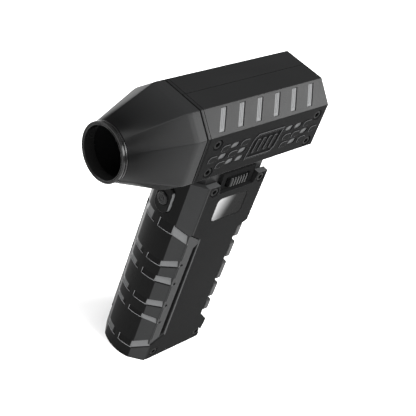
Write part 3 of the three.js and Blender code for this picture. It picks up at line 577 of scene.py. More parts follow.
# nozzle
nozzle = {"half": 20, "flat": 11.2, "collar": 5.6, "start": 0.3, "end": 33.3, "outlet": 12.66,
          "flatParts": 12, "slopeParts": 6, "rows": 14, "crease": 0.28, "fold": 1.5, "entry": 14.9,
          "bore": 11.2, "spigot": 17.5, "spigotStart": -1.3, "spigotEnd": 3, "shadedWithin": 15.5}
mouthPoints = 4 * (nozzle["flatParts"] + nozzle["slopeParts"])


def octagonBar(name, half, x0, x1):      # the slopes stay parallel when the bar is thinner
    flat = nozzle["flat"] - (nozzle["half"] - half) * (math.sqrt(2) - 1)
    reach = (half + flat) / 2
    cuts = [((0, y * reach, z * reach), (0, y, z)) for y in (-1, 1) for z in (-1, 1)]
    return trimmedBlock(name, (x0, -half, -half), (x1, half, half), cuts)


def acrossAt(x):                         # tells whether an edge lies across the air axis at x
    return lambda a, b: abs(a.x - x) < 0.01 and abs(b.x - x) < 0.01


def onCrease(point):                     # the eight lines from the collar's corners to the round mouth
    share = max(0, (-point.x - nozzle["collar"]) / (nozzle["end"] - nozzle["collar"]))
    for turn in range(4):
        for way in (-1, 1):
            at = turn * math.pi / 2 + way * math.pi * nozzle["flatParts"] / mouthPoints
            side = Matrix.Rotation(turn * math.pi / 2, 2)
            corner = side @ Vector((nozzle["half"], way * nozzle["flat"]))
            rim = Vector((math.cos(at), math.sin(at))) * nozzle["outlet"]
            if (corner.lerp(rim, share) - Vector((point.y, point.z))).length < 0.05:
                return True
    return False


def addNozzle():
    collar, start, end = nozzle["collar"], nozzle["start"], nozzle["end"]
    piece = octagonBar("nozzle_body", nozzle["half"], -collar, -start)
    for longest, shortest, parts in ((30, 20, nozzle["flatParts"]), (15, 10, nozzle["slopeParts"])):
        pickEdges(piece, lambda a, b: abs(a.x - b.x) < 0.01 and shortest < (a - b).length < longest)
        bpy.ops.mesh.subdivide(number_cuts=parts - 1)
    pickFaces(piece, lambda centre, normal: abs(centre.x + collar) < 0.01)
    bpy.ops.mesh.delete(type="ONLY_FACE")
    bpy.ops.mesh.primitive_circle_add(vertices=mouthPoints, radius=nozzle["outlet"] * mm,
                                      location=spot(-end, 0, 0), rotation=(0, math.pi / 2, 0))
    pickEdges(piece, lambda a, b: acrossAt(-collar)(a, b) or acrossAt(-end)(a, b))
    bpy.ops.mesh.bridge_edge_loops()
    pickEdges(piece, lambda a, b: abs(a.x - b.x) > 1 and onCrease(a) and onCrease(b))
    bevelPicked(nozzle["crease"], 2)
    pickEdges(piece, acrossAt(-collar))
    bevelPicked(nozzle["fold"], 6)
    pickEdges(piece, lambda a, b: abs(a.x - b.x) > 9)
    bpy.ops.mesh.subdivide(number_cuts=nozzle["rows"])
    pickEdges(piece, acrossAt(-end))
    bpy.ops.mesh.edge_face_add()
    cleanMesh(piece)
    fuse(piece, [octagonBar("nozzle_spigot", nozzle["spigot"], nozzle["spigotStart"], nozzle["spigotEnd"])])
    deselectAll()
    depth = end + nozzle["spigotEnd"] + 2
    bpy.ops.mesh.primitive_cone_add(vertices=96, radius1=nozzle["bore"] * mm, radius2=nozzle["entry"] * mm,
                                    depth=depth * mm, location=spot((nozzle["spigotEnd"] - end) / 2, 0, 0),
                                    rotation=(0, math.pi / 2, 0))
    carve(piece, [settle(named("nozzle_bore"))])
    # painted shade in the nozzle's finish: darker towards the tip
    dressed(smoothed(piece, 40), "nozzle")
    # painted shade inside the bore: faces turned towards the axis get the dark copy
    dressFaces(piece, "dark", lambda centre, normal: math.hypot(centre.y, centre.z) < nozzle["shadedWithin"]
               and normal.y * centre.y + normal.z * centre.z < 0)
    return standsFor(piece, "body", "nozzle_cone")


addNozzle()

# outlet ring: a polished lip with a shadow line behind it
ring = {"outer": 12.7, "inner": 11.2, "front": -35.9, "back": -33.6, "spigot": 11.9, "spigotLength": 3.2,
        "groove": 0.4, "grooveAt": 1.1, "stepOuter": 0.75, "stepInner": 0.35, "stepDepth": 0.3}


def ringRod(name, radius, start, end):
    return addRod(name, "x", radius, start, end, sides=128)


def addRing():
    outer, inner, front, back = ring["outer"], ring["inner"], ring["front"], ring["back"]
    piece = ringRod("outlet_lip", outer, front, back)
    fuse(piece, [ringRod("spigot", ring["spigot"], back - 0.5, back + ring["spigotLength"])])
    start = front + ring["grooveAt"]
    groove = ringRod("groove", outer + 1, start, start + ring["groove"])
    carve(groove, [ringRod("groove_core", outer - ring["groove"], front, back)])
    carve(piece, [groove])
    step = ringRod("face_step", outer - ring["stepOuter"], front - 1, front + ring["stepDepth"])
    carve(step, [ringRod("face_core", inner + ring["stepInner"], front - 2, back)])
    carve(piece, [step, ringRod("bore", inner, front - 2, back + 5)])
    softEdges(piece, 0.16, 3)
    dressed(smoothed(piece), "gloss")
    return standsFor(piece, "body", "outlet_ring")


addRing()
print("nozzle and outlet ring made")

# head shells
head = {"start": 0.5, "end": 77.4, "wall": 2.2, "edge": 0.32, "seam": 0.15, "line": (1.9, 0.28, 0.3),
        "wireHole": (28, 3.2)}
vents = {"count": 6, "first": 11.9, "pitch": 11.13, "width": 3.4, "slant": 4.7, "low": 0.13, "high": 0.9,
         "depth": 0.4, "gap": 0.12, "grooves": (0.36, 0.64), "grooveWide": 0.18, "grooveDeep": 0.12,
         "grooveLow": 0.16, "grooveHigh": 0.87}
screws = {"headX": (8, 72), "headZ": (6.5, -8), "plateX": (25.2, 55.2), "plateZ": (-28.1, -132.2),
          "radius": 2.25, "length": 1.7, "socket": 1.3, "socketDepth": 1.1, "shank": 1.25, "seat": 2,
          "bore": 2.75, "boreDepth": 2.1, "hole": 1.5, "boss": 3}


def ontoSlope(piece):                    # x, up the slope, out of it  ->  the upper slope at -y
    corner = spot(0, -nozzle["half"], nozzle["flat"])
    piece.data.transform(Matrix.Translation(corner) @ Matrix.Rotation(math.pi / 4, 4, "X")
                         @ Matrix.Translation(-spot(0, 0, 0)))
    return piece


def ventBlock(name, x, gap, low, high):  # one slanted vent, lying flat
    slope = (nozzle["half"] - nozzle["flat"]) * math.sqrt(2)
    bottom, top = vents["low"] * slope + gap, vents["high"] * slope - gap
    rise, slant = slope * (vents["high"] - vents["low"]), vents["slant"]
    left, right = x + gap, x + vents["width"] - gap
    block = trimmedBlock(name, (x - slant - 1, bottom, low), (right + 1, top, high),
                         [((left - slant / 2, (bottom + top) / 2, 0), (-rise, slant, 0)),
                          ((right - slant / 2, (bottom + top) / 2, 0), (rise, -slant, 0))])
    return block


def ventRow(name, gap, low, high, edge=0):
    first = ventBlock(name, vents["first"], gap, low, high)
    if edge:
        softEdges(first, edge, 2)
    row = [first]
    for number in range(1, vents["count"]):
        row.append(moved(copied(first, f"{name}_{number}"), x=number * vents["pitch"]))
    return ontoSlope(joined(row))


# cells on the side faces: lens shaped, some sunk and some raised, in staggered rows
# each row has its height, then the place of every cell and 1 where it is sunk
cells = {"size": (4.9, 3.0), "round": 1.9, "sink": 0.55, "rise": 0.3,
         "rows": [(3.65, ((13.5, 0), (19.5, 1), (25.5, 0), (54.1, 1), (60.1, 1), (66.1, 0))),
                  (-0.8, ((7.4, 0), (13.5, 1), (19.5, 0), (25.5, 1),
                          (54.1, 0), (60.1, 0), (66.1, 1), (72.1, 0))),
                  (-5.1, ((13.5, 0), (19.5, 1), (25.5, 1), (54.1, 0), (60.1, 1), (66.1, 0)))]}


def cellBlock(name, x, z, outer, inner):
    wide, tall = cells["size"]
    piece = addBlock(name, (x - wide / 2, outer, z - tall / 2), (x + wide / 2, inner, z + tall / 2))
    for across, up in ((-1, 1), (1, -1)):
        pickEdges(piece, lambda a, b: abs(a.y - b.y) > 0.1 and (a.x - x) * across > 0
                  and (a.z - z) * up > 0)
        bevelPicked(cells["round"], 5)
    for across, up in ((1, 1), (-1, -1)):
        pickEdges(piece, lambda a, b: abs(a.y - b.y) > 0.1 and (a.x - x) * across > 0.95 * wide / 2
                  and (a.z - z) * up > 0.95 * tall / 2)
        bevelPicked(0.5, 3)
    return piece


def cellRow(name, kind, outer, inner, edge=0):
    first = cellBlock(name, 0, 0, outer, inner)
    if edge:
        softEdges(first, edge, 2)
    row = []
    for z, places in cells["rows"]:
        for x, sunk in places:
            if sunk == kind:
                row.append(moved(copied(first, f"{name}_{len(row)}"), x=x, z=z))
    bpy.data.objects.remove(first)
    return joined(row)


# badge field between the cells: a leaning frame with plain slanted bars in it
badge = {"x": (30.2, 48.8), "z": (-7, 5.9), "lean": 0.2, "rim": 0.9, "rise": 0.32, "sink": 0.35,
         "corner": 3.2, "bars": 4, "barWidth": 1.7, "barPitch": 3.6, "barInset": 3}


def leaningBlock(name, x0, x1, z0, z1, outer, inner, corner):
    lean = badge["lean"]
    middle = (z0 + z1) / 2
    cuts = [((x0, 0, middle), (-1, 0, lean)), ((x1, 0, middle), (1, 0, -lean))]
    if corner:
        cuts += [((x0 + corner, 0, z1), (-1, 0, 1)), ((x1 - corner, 0, z0), (1, 0, -1))]
    return trimmedBlock(name, (x0 - 4, outer, z0), (x1 + 4, inner, z1), cuts)


def addBadge(outer):
    (x0, x1), (z0, z1), rim = badge["x"], badge["z"], badge["rim"]
    frameBlock = leaningBlock("badge_frame", x0, x1, z0, z1, outer - badge["rise"], outer + 1,
                              badge["corner"])
    carve(frameBlock, [leaningBlock("badge_field", x0 + rim, x1 - rim, z0 + rim, z1 - rim,
                                    outer - 2, outer + 2, badge["corner"] - rim / 2)])
    parts = [frameBlock]
    for number in range(badge["bars"]):
        x = (x0 + x1) / 2 + (number - (badge["bars"] - 1) / 2) * badge["barPitch"]
        parts.append(leaningBlock(f"bar_{number}", x - badge["barWidth"] / 2, x + badge["barWidth"] / 2,
                                  z0 + badge["barInset"], z1 - badge["barInset"],
                                  outer - badge["rise"], outer + 1, 0))
    return softEdges(joined(parts), 0.14, 2)


def headCutters():
    half, wall = nozzle["half"], head["wall"]
    cutters = [ventRow("vent_windows", 0, -wall - 2, 2),
               cellRow("cell_pockets", 1, -half - 1, -half + cells["sink"])]
    (x0, x1), (z0, z1), rim = badge["x"], badge["z"], badge["rim"]
    rim -= 0.08                           # the sunk field runs a little under its frame
    cutters.append(leaningBlock("badge_sink", x0 + rim, x1 - rim, z0 + rim, z1 - rim, -half - 1,
                                -half + badge["sink"], badge["corner"] - rim / 2))
    floor = -half + screws["boreDepth"]
    for x in screws["headX"]:
        for z in screws["headZ"]:
            cutters.append(addRod("counterbore", "y", screws["bore"], -half - 2, floor, (x, z), 44))
            cutters.append(addRod("screw_hole", "y", screws["hole"], floor - 1, -half + 6, (x, z), 16))
    at, width, depth = head["line"]
    line = octagonBar("border_line", half + 1, at, at + width)
    cutters.append(carve(line, [octagonBar("border_core", half - depth, at - 1, at + 2)]))
    return cutters


def addHeadShells():
    start, end, half = head["start"], head["end"], nozzle["half"]
    piece = octagonBar("head_side_right", half, start, end)
    softEdges(piece, head["edge"], 2)
    carve(piece, [octagonBar("head_hollow", half - head["wall"], start - 2, end + 2)])
    sliceOff(piece, (0, -head["seam"], 0), (0, 1, 0))
    bosses = []
    bossEnd = -half + head["wall"] + 1.5
    for x in screws["headX"]:
        for z in screws["headZ"]:
            bosses.append(addRod("boss", "y", screws["boss"], -half + 1.1, bossEnd, (x, z), 24))
    fuse(piece, [joined(bosses)])
    carve(piece, headCutters())
    bumps = cellRow("cell_bumps", 0, -half - cells["rise"], -half + 0.6, 0.16)
    fuse(piece, [bumps, addBadge(-half)])
    at, radius = head["wireHole"]
    carve(piece, [addRod("wire_hole", "z", radius, -half - 2, -half + 4, (at, 0), 32)])
    dressed(smoothed(piece), "shell")
    # painted shade: the side faces get the darker copy
    dressFaces(piece, "flat", lambda c, n: n.y < -0.95 and c.y < -half + 2.5)
    sunk = -half + cells["sink"]
    # lighter grey on the floors of the sunk cells
    dressFaces(piece, "accentDark", lambda c, n: n.y < -0.9 and sunk - 0.1 < c.y < -half + 0.7)
    # painted highlight: the sloped edges of the raised cells and the badge are made lighter
    dressFaces(piece, "accentDark", lambda c, n: -0.95 < n.y < -0.2 and c.y < -half - 0.02)
    left = mirrored(piece, "head_side_left")
    standsFor(piece, "body", "head_shell_right")
    return standsFor(left, "body", "head_shell_left")


def addVentPads():
    wall = head["wall"]
    pads = ventRow("vent_pads_right", vents["gap"], -wall - 0.6, -vents["depth"], 0.12)
    slope = (nozzle["half"] - nozzle["flat"]) * math.sqrt(2)
    low, high, depth = vents["low"], vents["high"], vents["depth"]
    x0, x1 = vents["first"] - vents["slant"] - 1, vents["first"] + 5 * vents["pitch"] + vents["width"] + 1
    back = addBlock("vent_back", (x0, slope * low, -wall - 1.4), (x1, slope * high, -wall - 0.3))
    fuse(pads, [ontoSlope(back)])
    lines = []
    wide, lean = vents["grooveWide"] / 2, math.atan2(vents["slant"], slope * (high - low))
    for number in range(vents["count"]):
        for share in vents["grooves"]:   # two fine grooves up each pad
            x = vents["first"] + number * vents["pitch"] + vents["width"] * share
            line = addBlock("pad_line",
                            (x - wide, slope * vents["grooveLow"], -depth - vents["grooveDeep"]),
                            (x + wide, slope * vents["grooveHigh"], 0.4))
            lines.append(turnedAbout(line, "Z", -lean, (x, slope * high, 0)))
    carve(pads, [ontoSlope(joined(lines))])
    dressed(smoothed(pads), "accent")
    left = mirrored(pads, "vent_pads_left")
    standsFor(pads, "body", "vent_strip_right")
    standsFor(left, "body", "vent_strip_left")


addHeadShells()
addVentPads()
print("head made")

# rear cap and intake grille
rear = {"end": 76.6, "thick": 2.6, "bore": 14.6, "seat": 16.1, "grille": 1.8, "ringWidth": 1.1,
        "radii": (4.4, 8, 11.4), "hub": 2.2, "spokes": 8, "bossRoomX": (65, 75.3), "bossRoomY": 16.5,
        "bossRoomHalf": (2.5, 3.3)}


def addRearCap():
    end, start = rear["end"], rear["end"] - rear["thick"]
    piece = octagonBar("rear_panel", nozzle["half"] - head["wall"] - 0.3, start, end)
    softEdges(piece, 0.4, 2)
    cutters = [addRod("bore", "x", rear["bore"], start - 1, end + 1, sides=96),
               addRod("seat", "x", rear["seat"], end - rear["grille"], end + 1, sides=96)]
    (x0, x1), (wide, tall) = rear["bossRoomX"], rear["bossRoomHalf"]
    for z in screws["headZ"]:
        for y in (-rear["bossRoomY"], rear["bossRoomY"]):
            cutters.append(addBlock("boss_room", (x0, y - wide, z - tall), (x1, y + wide, z + tall)))
    carve(piece, cutters)
    dressed(smoothed(piece), "shell")
    return standsFor(piece, "body", "rear_cap")


def addGrille():
    end, width = rear["end"], rear["ringWidth"]
    start = end - rear["grille"] + 0.3
    outer = rear["seat"] - 0.3

    def grilleRing(radius, inner):
        part = addRod("grille_ring", "x", radius, start, end, sides=96)
        carve(part, [addRod("grille_gap", "x", inner, start - 1, end + 1, sides=96)])
        return softEdges(part, 0.3, 2)

    piece = grilleRing(outer, outer - width)
    parts = [grilleRing(r + width / 2, r - width / 2) for r in rear["radii"]]
    hub = softEdges(addRod("grille_hub", "x", rear["hub"], start, end + 0.3, sides=64), 0.5, 4)
    parts.append(hub)
    for number in range(rear["spokes"] // 2):
        spoke = softEdges(addBlock("spoke", (start + 0.2, -outer + width / 2, -width / 2),
                                   (end - 0.2, outer - width / 2, width / 2)), 0.25, 2)
        parts.append(turnedAbout(spoke, "X", number * 2 * math.pi / rear["spokes"]))
    fuse(piece, parts)
    piece.name = "rear_grille"
    dressed(smoothed(piece), "gloss")
    return standsFor(piece, "body", "intake_grille")


addRearCap()
addGrille()
print("rear made")

# handle: the outline that its cover, plates and screws share
handle = {"bottom": -136.2, "half": 15.2, "front": 13.8, "frontHalf": 9, "seam": 20.05, "top": -24.4,
          "crown": 20.3, "crownAt": 32, "wall": 2.2, "corner": 0.075, "hollow": 16}


# screws
def capScrew(name, face):                # standing at x = 0, z = 0 with its seat below the face at -y
    seat = -face + screws["seat"]
    top = seat - screws["length"]
    piece = addRod(name, "y", screws["radius"], top, seat, sides=48)
    pickEdges(piece, lambda a, b: abs(a.y - top) < 0.01 and abs(b.y - top) < 0.01)
    bevelPicked(0.35, 3)
    carve(piece, [addRod("socket", "y", screws["socket"], top - 1, top + screws["socketDepth"], sides=6)])
    fuse(piece, [addRod("shank", "y", screws["shank"], seat - 0.5, seat + 3, sides=24)])
    softEdges(piece, 0.08, 2, 40)
    return smoothed(piece)


def addScrews():
    for family, face in (("head", nozzle["half"]), ("plate", handle["half"])):
        first = dressed(capScrew("screw_pattern", face), "screw")
        for i, x in enumerate(screws[family + "X"]):
            for j, z in enumerate(screws[family + "Z"]):
                number = 2 * i + j + 1
                right = moved(copied(first, f"{family}_cap_screw_right_{number}"), x=x, z=z)
                left = mirrored(right, f"{family}_cap_screw_left_{number}")
                for side, piece in (("right", right), ("left", left)):
                    standsFor(piece, "body", f"{family}_screw_{side}_{number}")
        bpy.data.objects.remove(first)


addScrews()
print("screws made")

# front cover of the handle, with tread bands
# each band has its upper and lower edge where the slope starts, then at the seam
bands = {"depth": 0.75, "lowDepth": 0.07, "spine": 1.3, "slot": 0.75, "slotDepth": 1.3, "slotAtTop": (0, 4),
         "slotFrom": 0.35, "frontLow": 0.45, "past": 0.15, "lap": 0.04, "shy": 0.01,
         "edges": [(-48.7, -54.0, -52.9, -57.9), (-70.4, -73.8, -67.7, -71.5),
                   (-79.8, -83.3, -79.0, -83.6), (-95.4, -99.0, -94.4, -98.2),
                   (-105.0, -107.9, -106.5, -109.8), (-124.8, -129.2, -120.7, -125.4)]}
flange = {"top": -52.5, "drop": 5.1, "width": 5.2, "tongue": 7.6, "bottom": -124.4, "rise": 2.8,
          "sink": 0.3, "inner": -12.2, "nickX": (0.9, 2.2), "nickZ": (-0.5, 1.3), "nickLean": -28}


def slopeNormal():                       # out of the slope between the front and the side at -y
    run, rise = handle["seam"] - handle["front"], handle["half"] - handle["frontHalf"]
    return Vector((-rise, -run, 0)).normalized()


def slopeStart():
    return Vector((handle["front"], -handle["frontHalf"], 0))


def handleBar(name, inset, z0, z1, front, back):
    normal = slopeNormal()
    corner = slopeStart() - normal * inset
    point = (corner.x, corner.y, 0)
    other = (corner.x, -corner.y, 0)
    return trimmedBlock(name, (front, -handle["half"] + inset, z0), (back, handle["half"] - inset, z1),
                        [(point, normal), (other, (normal.x, -normal.y, 0))])


# what lies outside a plane sunk by depthTop at the upper edge and depthLow at the lower edge
def slopedCutter(name, upper, lower, depthTop, depthLow, start, stop):
    normal, corner = slopeNormal(), slopeStart()
    along = Vector((handle["seam"] - handle["front"], handle["frontHalf"] - handle["half"], 0))
    (upA, upB), (lowA, lowB) = upper, lower
    slope = (upB - upA) / along.length
    lowSlope = (lowB - lowA) / along.length
    way = along.normalized()
    foot = corner + Vector((0, 0, lowA)) - normal * depthLow
    far = corner + along + Vector((0, 0, lowB)) - normal * depthLow
    high = corner + Vector((0, 0, upA)) - normal * depthTop
    ramp = (far - foot).cross(high - foot).normalized()
    ramp = ramp if ramp.dot(normal) > 0 else -ramp
    upNormal = Vector((-way.x * slope, -way.y * slope, 1))
    lowNormal = Vector((way.x * lowSlope, way.y * lowSlope, -1))
    cuts = [(foot, -ramp), (corner + Vector((0, 0, upA)), upNormal),
            (corner + Vector((0, 0, lowA)), lowNormal),
            (corner + way * start, -way), (corner + way * stop, way)]
    return trimmedBlock(name, (6, -22, min(lowA, lowB) - 2), (26, -3, max(upA, upB) + 2), cuts)


# the same on the rounded front: the plane is a cone about the crown's axis
def frontCutter(name, top, low, depthTop, depthLow, y0, y1):
    deselectAll()
    size, past = handle["crown"], 1
    flare = (depthTop - depthLow) * past / (top - low)
    bpy.ops.mesh.primitive_cone_add(vertices=200, radius1=(size - depthLow + flare) * mm,
                                    radius2=(size - depthTop - flare) * mm,
                                    depth=(top - low + 2 * past) * mm,
                                    location=spot(handle["crownAt"], 0, (top + low) / 2))
    core = settle(named("crown_core"))
    return carve(addBlock(name, (6, y0, low), (16.5, y1, top)), [core])


def addTreadCutters():
    cutters = []
    width = math.hypot(handle["seam"] - handle["front"], handle["half"] - handle["frontHalf"])
    for number, (upA, lowA, upB, lowB) in enumerate(bands["edges"]):
        depth, slot = bands["depth"], bands["slot"]
        cutters.append(slopedCutter("band", (upA, upB), (lowA, lowB), depth, bands["lowDepth"],
                                    -0.02, width + 2))
        endA, endB = (upA, upB) if number in bands["slotAtTop"] else (lowA, lowB)
        lap, shy = bands["lap"], bands["shy"]    # keep the faces of neighbouring cutters off one plane
        cutters.append(slopedCutter("slot", (endA + lap, endB + lap), (endA - slot, endB - slot),
                                    bands["slotDepth"], bands["slotDepth"], bands["slotFrom"],
                                    width + 2))
        cutters.append(frontCutter("front_band", upA - shy, lowA + shy, depth, depth * bands["frontLow"],
                                   -handle["frontHalf"] - bands["past"], -bands["spine"]))
    cutters.sort(key=lambda cutter: not cutter.name.startswith("front"))
    return cutters + [mirrored(cutter, "left_cutter") for cutter in cutters]


def flangeBlock():
    seam, grip = handle["seam"], handle["seam"] + flange["width"]
    tongue = handle["seam"] + flange["tongue"]
    outer, inner = -handle["half"] + flange["sink"], flange["inner"]
    drop = flange["drop"] / flange["tongue"]
    rise = flange["rise"] / flange["width"]
    bar = trimmedBlock("flange", (seam - 0.6, outer, flange["bottom"]), (grip, inner, flange["top"]),
                       [((seam, 0, flange["top"]), (drop, 0, 1)),
                        ((seam, 0, flange["bottom"]), (rise, 0, -1))])
    lower = flange["top"] - flange["drop"] - 2
    tip = trimmedBlock("flange_tip", (grip - 0.5, outer, lower - 2.2), (tongue, inner, flange["top"]),
                       [((seam, 0, flange["top"]), (drop, 0, 1)), ((tongue, 0, lower), (1, 0, -1.1))])
    return softEdges(carve(fuse(bar, [tip]), [flangeNotches()]), 0.2, 2)


def flangeNotches():                     # small open nicks where the bands run out
    seam = handle["seam"]
    nicks = []
    (x0, x1), (z0, z1), lean = flange["nickX"], flange["nickZ"], math.radians(flange["nickLean"])
    for number, edges in enumerate(bands["edges"][1:5]):
        foot = edges[-1]
        nick = addBlock(f"nick_{number}", (seam + x0, -16, foot + z0), (seam + x1, -14.2, foot + z1))
        nicks.append(turnedAbout(nick, "Y", lean, (seam + 1.5, 0, foot)))
    return joined(nicks)


def addFrontCover():
    bottom, top = handle["bottom"], handle["top"]
    piece = handleBar("front_grip_cover", 0, bottom, top, 11, handle["seam"])
    crown = addRod("crown", "z", handle["crown"], bottom - 1, top + 1, (handle["crownAt"], 0), 256)
    keepInside(piece, crown)
    crownNormal = Vector((handle["front"] - handle["crownAt"], -handle["frontHalf"], 0)).normalized()
    middle = (crownNormal + slopeNormal()).normalized()
    for side in (1, -1):                 # a narrow flat where front and slope meet
        normal = Vector((middle.x, middle.y * side, 0))
        meeting = Vector((handle["front"], -side * handle["frontHalf"], 0))
        sliceOff(piece, meeting - normal * handle["corner"], normal)
    cleanMesh(piece)
    carve(piece, addTreadCutters())
    hollow = handleBar("cover_hollow", handle["wall"] + 0.05, bottom - 2, top + 2, handle["hollow"], 30)
    carve(piece, [hollow, pillBar("bezel_room", button["half"] + 0.3, 8, 20)])
    wing = flangeBlock()
    joined([piece, wing, mirrored(wing, "flange_left")])
    # painted light: the cover gets the lighter copy of the plastic
    dressed(smoothed(piece, 32), "cover")
    normal, corner = slopeNormal(), slopeStart()

    # painted shade: the front faces get the near black copy
    dressFaces(piece, "crown", lambda c, n: n.x < -0.8 and c.x < 14.5)
    # painted light: the band floors on the lit half of the front are made lighter
    dressFaces(piece, "accentDark", lambda c, n: n.x < -0.7 and abs(n.z) > 0.03 and c.y > 4 and c.x < 14.5)

    def sunkOnSlope(centre, faceNormal):     # the sloping floors of the bands, which get painted light
        side = Vector((centre.x, -abs(centre.y), 0)) - corner
        facing = Vector((faceNormal.x, -abs(faceNormal.y), 0)).dot(normal)
        return facing > 0.9 and -bands["depth"] < side.dot(normal) < -0.05 and abs(faceNormal.z) > 0.03

    # painted light: the band floors on the slopes get the lighter grey
    dressFaces(piece, "accent", sunkOnSlope)
    # painted highlights: the band ends at the spine and the faces of the bands that face up
    dressFaces(piece, "tick", lambda c, n: abs(abs(c.y) - bands["spine"]) < 0.05 and abs(n.y) > 0.9
               and c.x < 14)
    dressFaces(piece, "tick", lambda c, n: n.z > 0.9 and c.x < 14.2 and bottom + 2 < c.z < top - 2)
    return standsFor(piece, "body", "front_cover")


# power button and its raised surround
button = {"z": -38.2, "radius": 3.1, "face": 9.8, "stem": 1.2, "stemEnd": 19.4, "flange": 3.8,
          "flangeThick": 0.9, "seat": 13.85, "half": 4.6, "straight": 3, "bezelFace": 10.6,
          "bezelBack": 15.9, "rim": 0.55, "iconRadius": 1.35, "iconLine": 0.3, "iconDepth": 0.22}


def pillBar(name, half, x0, x1):
    z, run = button["z"], button["straight"]
    return roundedBlock(name, (x0, -half, z - run - half), (x1, half, z + run + half), half - 0.25, "x", 24)


def addBezel():
    piece = pillBar("button_surround", button["half"], button["bezelFace"], button["bezelBack"])
    cleanMesh(piece)
    face = button["bezelFace"]
    pickEdges(piece, lambda a, b: a.x < face + 0.01 and b.x < face + 0.01)
    bevelPicked(button["rim"], 3)
    place = (0, button["z"])
    carve(piece, [addRod("hole", "x", button["radius"] + 0.3, 5, 20, place, 96),
                  addRod("pocket", "x", button["flange"] + 0.3, button["seat"] - 0.15, 20, place, 64)])
    softEdges(piece, 0.12, 2, 50)
    # painted shade: the surround gets the near black front copy
    dressed(smoothed(piece), "crown")
    # painted highlight: the side of the surround facing -y is made lighter
    dressFaces(piece, "accent", lambda c, n: n.y < -0.9 and c.x < button["bezelFace"] + 3)
    return standsFor(piece, "body", "button_bezel")


def addButton():
    z, face, seat = button["z"], button["face"], button["seat"]
    back = seat + button["flangeThick"]
    piece = addRod("power_cap", "x", button["radius"], face, back, (0, z), 96)
    pickEdges(piece, lambda a, b: a.x < face + 0.01 and b.x < face + 0.01)
    bevelPicked(0.7, 5)
    fuse(piece, [addRod("flange", "x", button["flange"], seat, back, (0, z), 64),
                 addRod("stem", "x", button["stem"], seat + 0.5, button["stemEnd"], (0, z), 32)])
    size, line, floor = button["iconRadius"], button["iconLine"], face + button["iconDepth"]
    arc = addRod("icon_arc", "x", size + line / 2, face - 1, floor, (0, z), 64)
    gap = addBlock("icon_gap", (face - 2, -0.65, z), (face + 1, 0.65, z + 3))
    carve(arc, [addRod("icon_core", "x", size - line / 2, face - 2, face + 1, (0, z), 64), gap])
    bar = addBlock("icon_bar", (face - 1, -line / 2, z + 0.2), (floor, line / 2, z + 1.7))
    carve(piece, [arc, bar])
    dressed(smoothed(piece), "button")
    return standsFor(piece, "button", "power_button")


addFrontCover()
addBezel()
addButton()
print("front cover and button made")

# side plates
plate = {"thick": 3, "top": -24.8, "rear": 58.7, "foot": 57.2, "taper": 10, "gap": 0.3, "ledge": -30.2,
         "notchFront": (27.6, 29), "notchRear": (51, 52.5), "edge": 0.22, "frontEdge": 1.1,
         "rearNotch": (52.9, -55.2, -58.2, -117.5, -123.8),
         "window": (30.2, 50, -47.6, -33.8, 2.5), "boreDepth": 1.9, "flangeGap": 0.5, "flangeFall": 4.2}


def plateCutters(side):
    outer, inner = -handle["half"] - 2, -handle["half"] + plate["thick"] + 2
    seam, top = handle["seam"] + plate["gap"], plate["top"]
    (f0, f1), (r0, r1) = plate["notchFront"], plate["notchRear"]
    fall = top - plate["ledge"]
    notch = trimmedBlock("slider_notch", (f0 - 3, outer, plate["ledge"]), (r1 + 3, inner, top + 3),
                         [((f1, 0, plate["ledge"]), (-fall, 0, f0 - f1)),
                          ((r0, 0, plate["ledge"]), (fall, 0, r0 - r1))])
    x, z0, z1, z2, z3 = plate["rearNotch"]
    rearNotch = trimmedBlock("rear_notch", (x, outer, z3 - 1), (plate["rear"] + 2, inner, z0 + 1),
                             [((x, 0, z1), (-(z0 - z1), 0, plate["rear"] - x)),
                              ((x, 0, z2), (-(z2 - z3), 0, -(plate["rear"] - x)))])
    grip = handle["seam"] + flange["tongue"] + plate["gap"]
    drop = flange["drop"] / flange["tongue"]
    rise, room = (grip - seam) / plate["flangeFall"], plate["flangeGap"]
    pocket = trimmedBlock("flange_room", (seam - 3, outer, flange["bottom"] - 3),
                          (grip, inner, flange["top"] + 3),
                          [((seam, 0, flange["top"] + room), (drop, 0, 1)),
                           ((seam, 0, flange["bottom"] - room), (1 / rise, 0, -1))])
    cutters = [notch, rearNotch, pocket]
    floor = -handle["half"] + plate["boreDepth"]
    for place in [(sx, sz) for sx in screws["plateX"] for sz in screws["plateZ"]]:
        cutters.append(addRod("counterbore", "y", screws["bore"], outer, floor, place, 40))
        cutters.append(addRod("screw_hole", "y", screws["hole"], outer, inner, place, 16))
    if side == "right":
        x0, x1, zz0, zz1, radius = plate["window"]
        cutters.append(roundedBlock("window", (x0, outer, zz0), (x1, inner, zz1), radius))
    return cutters


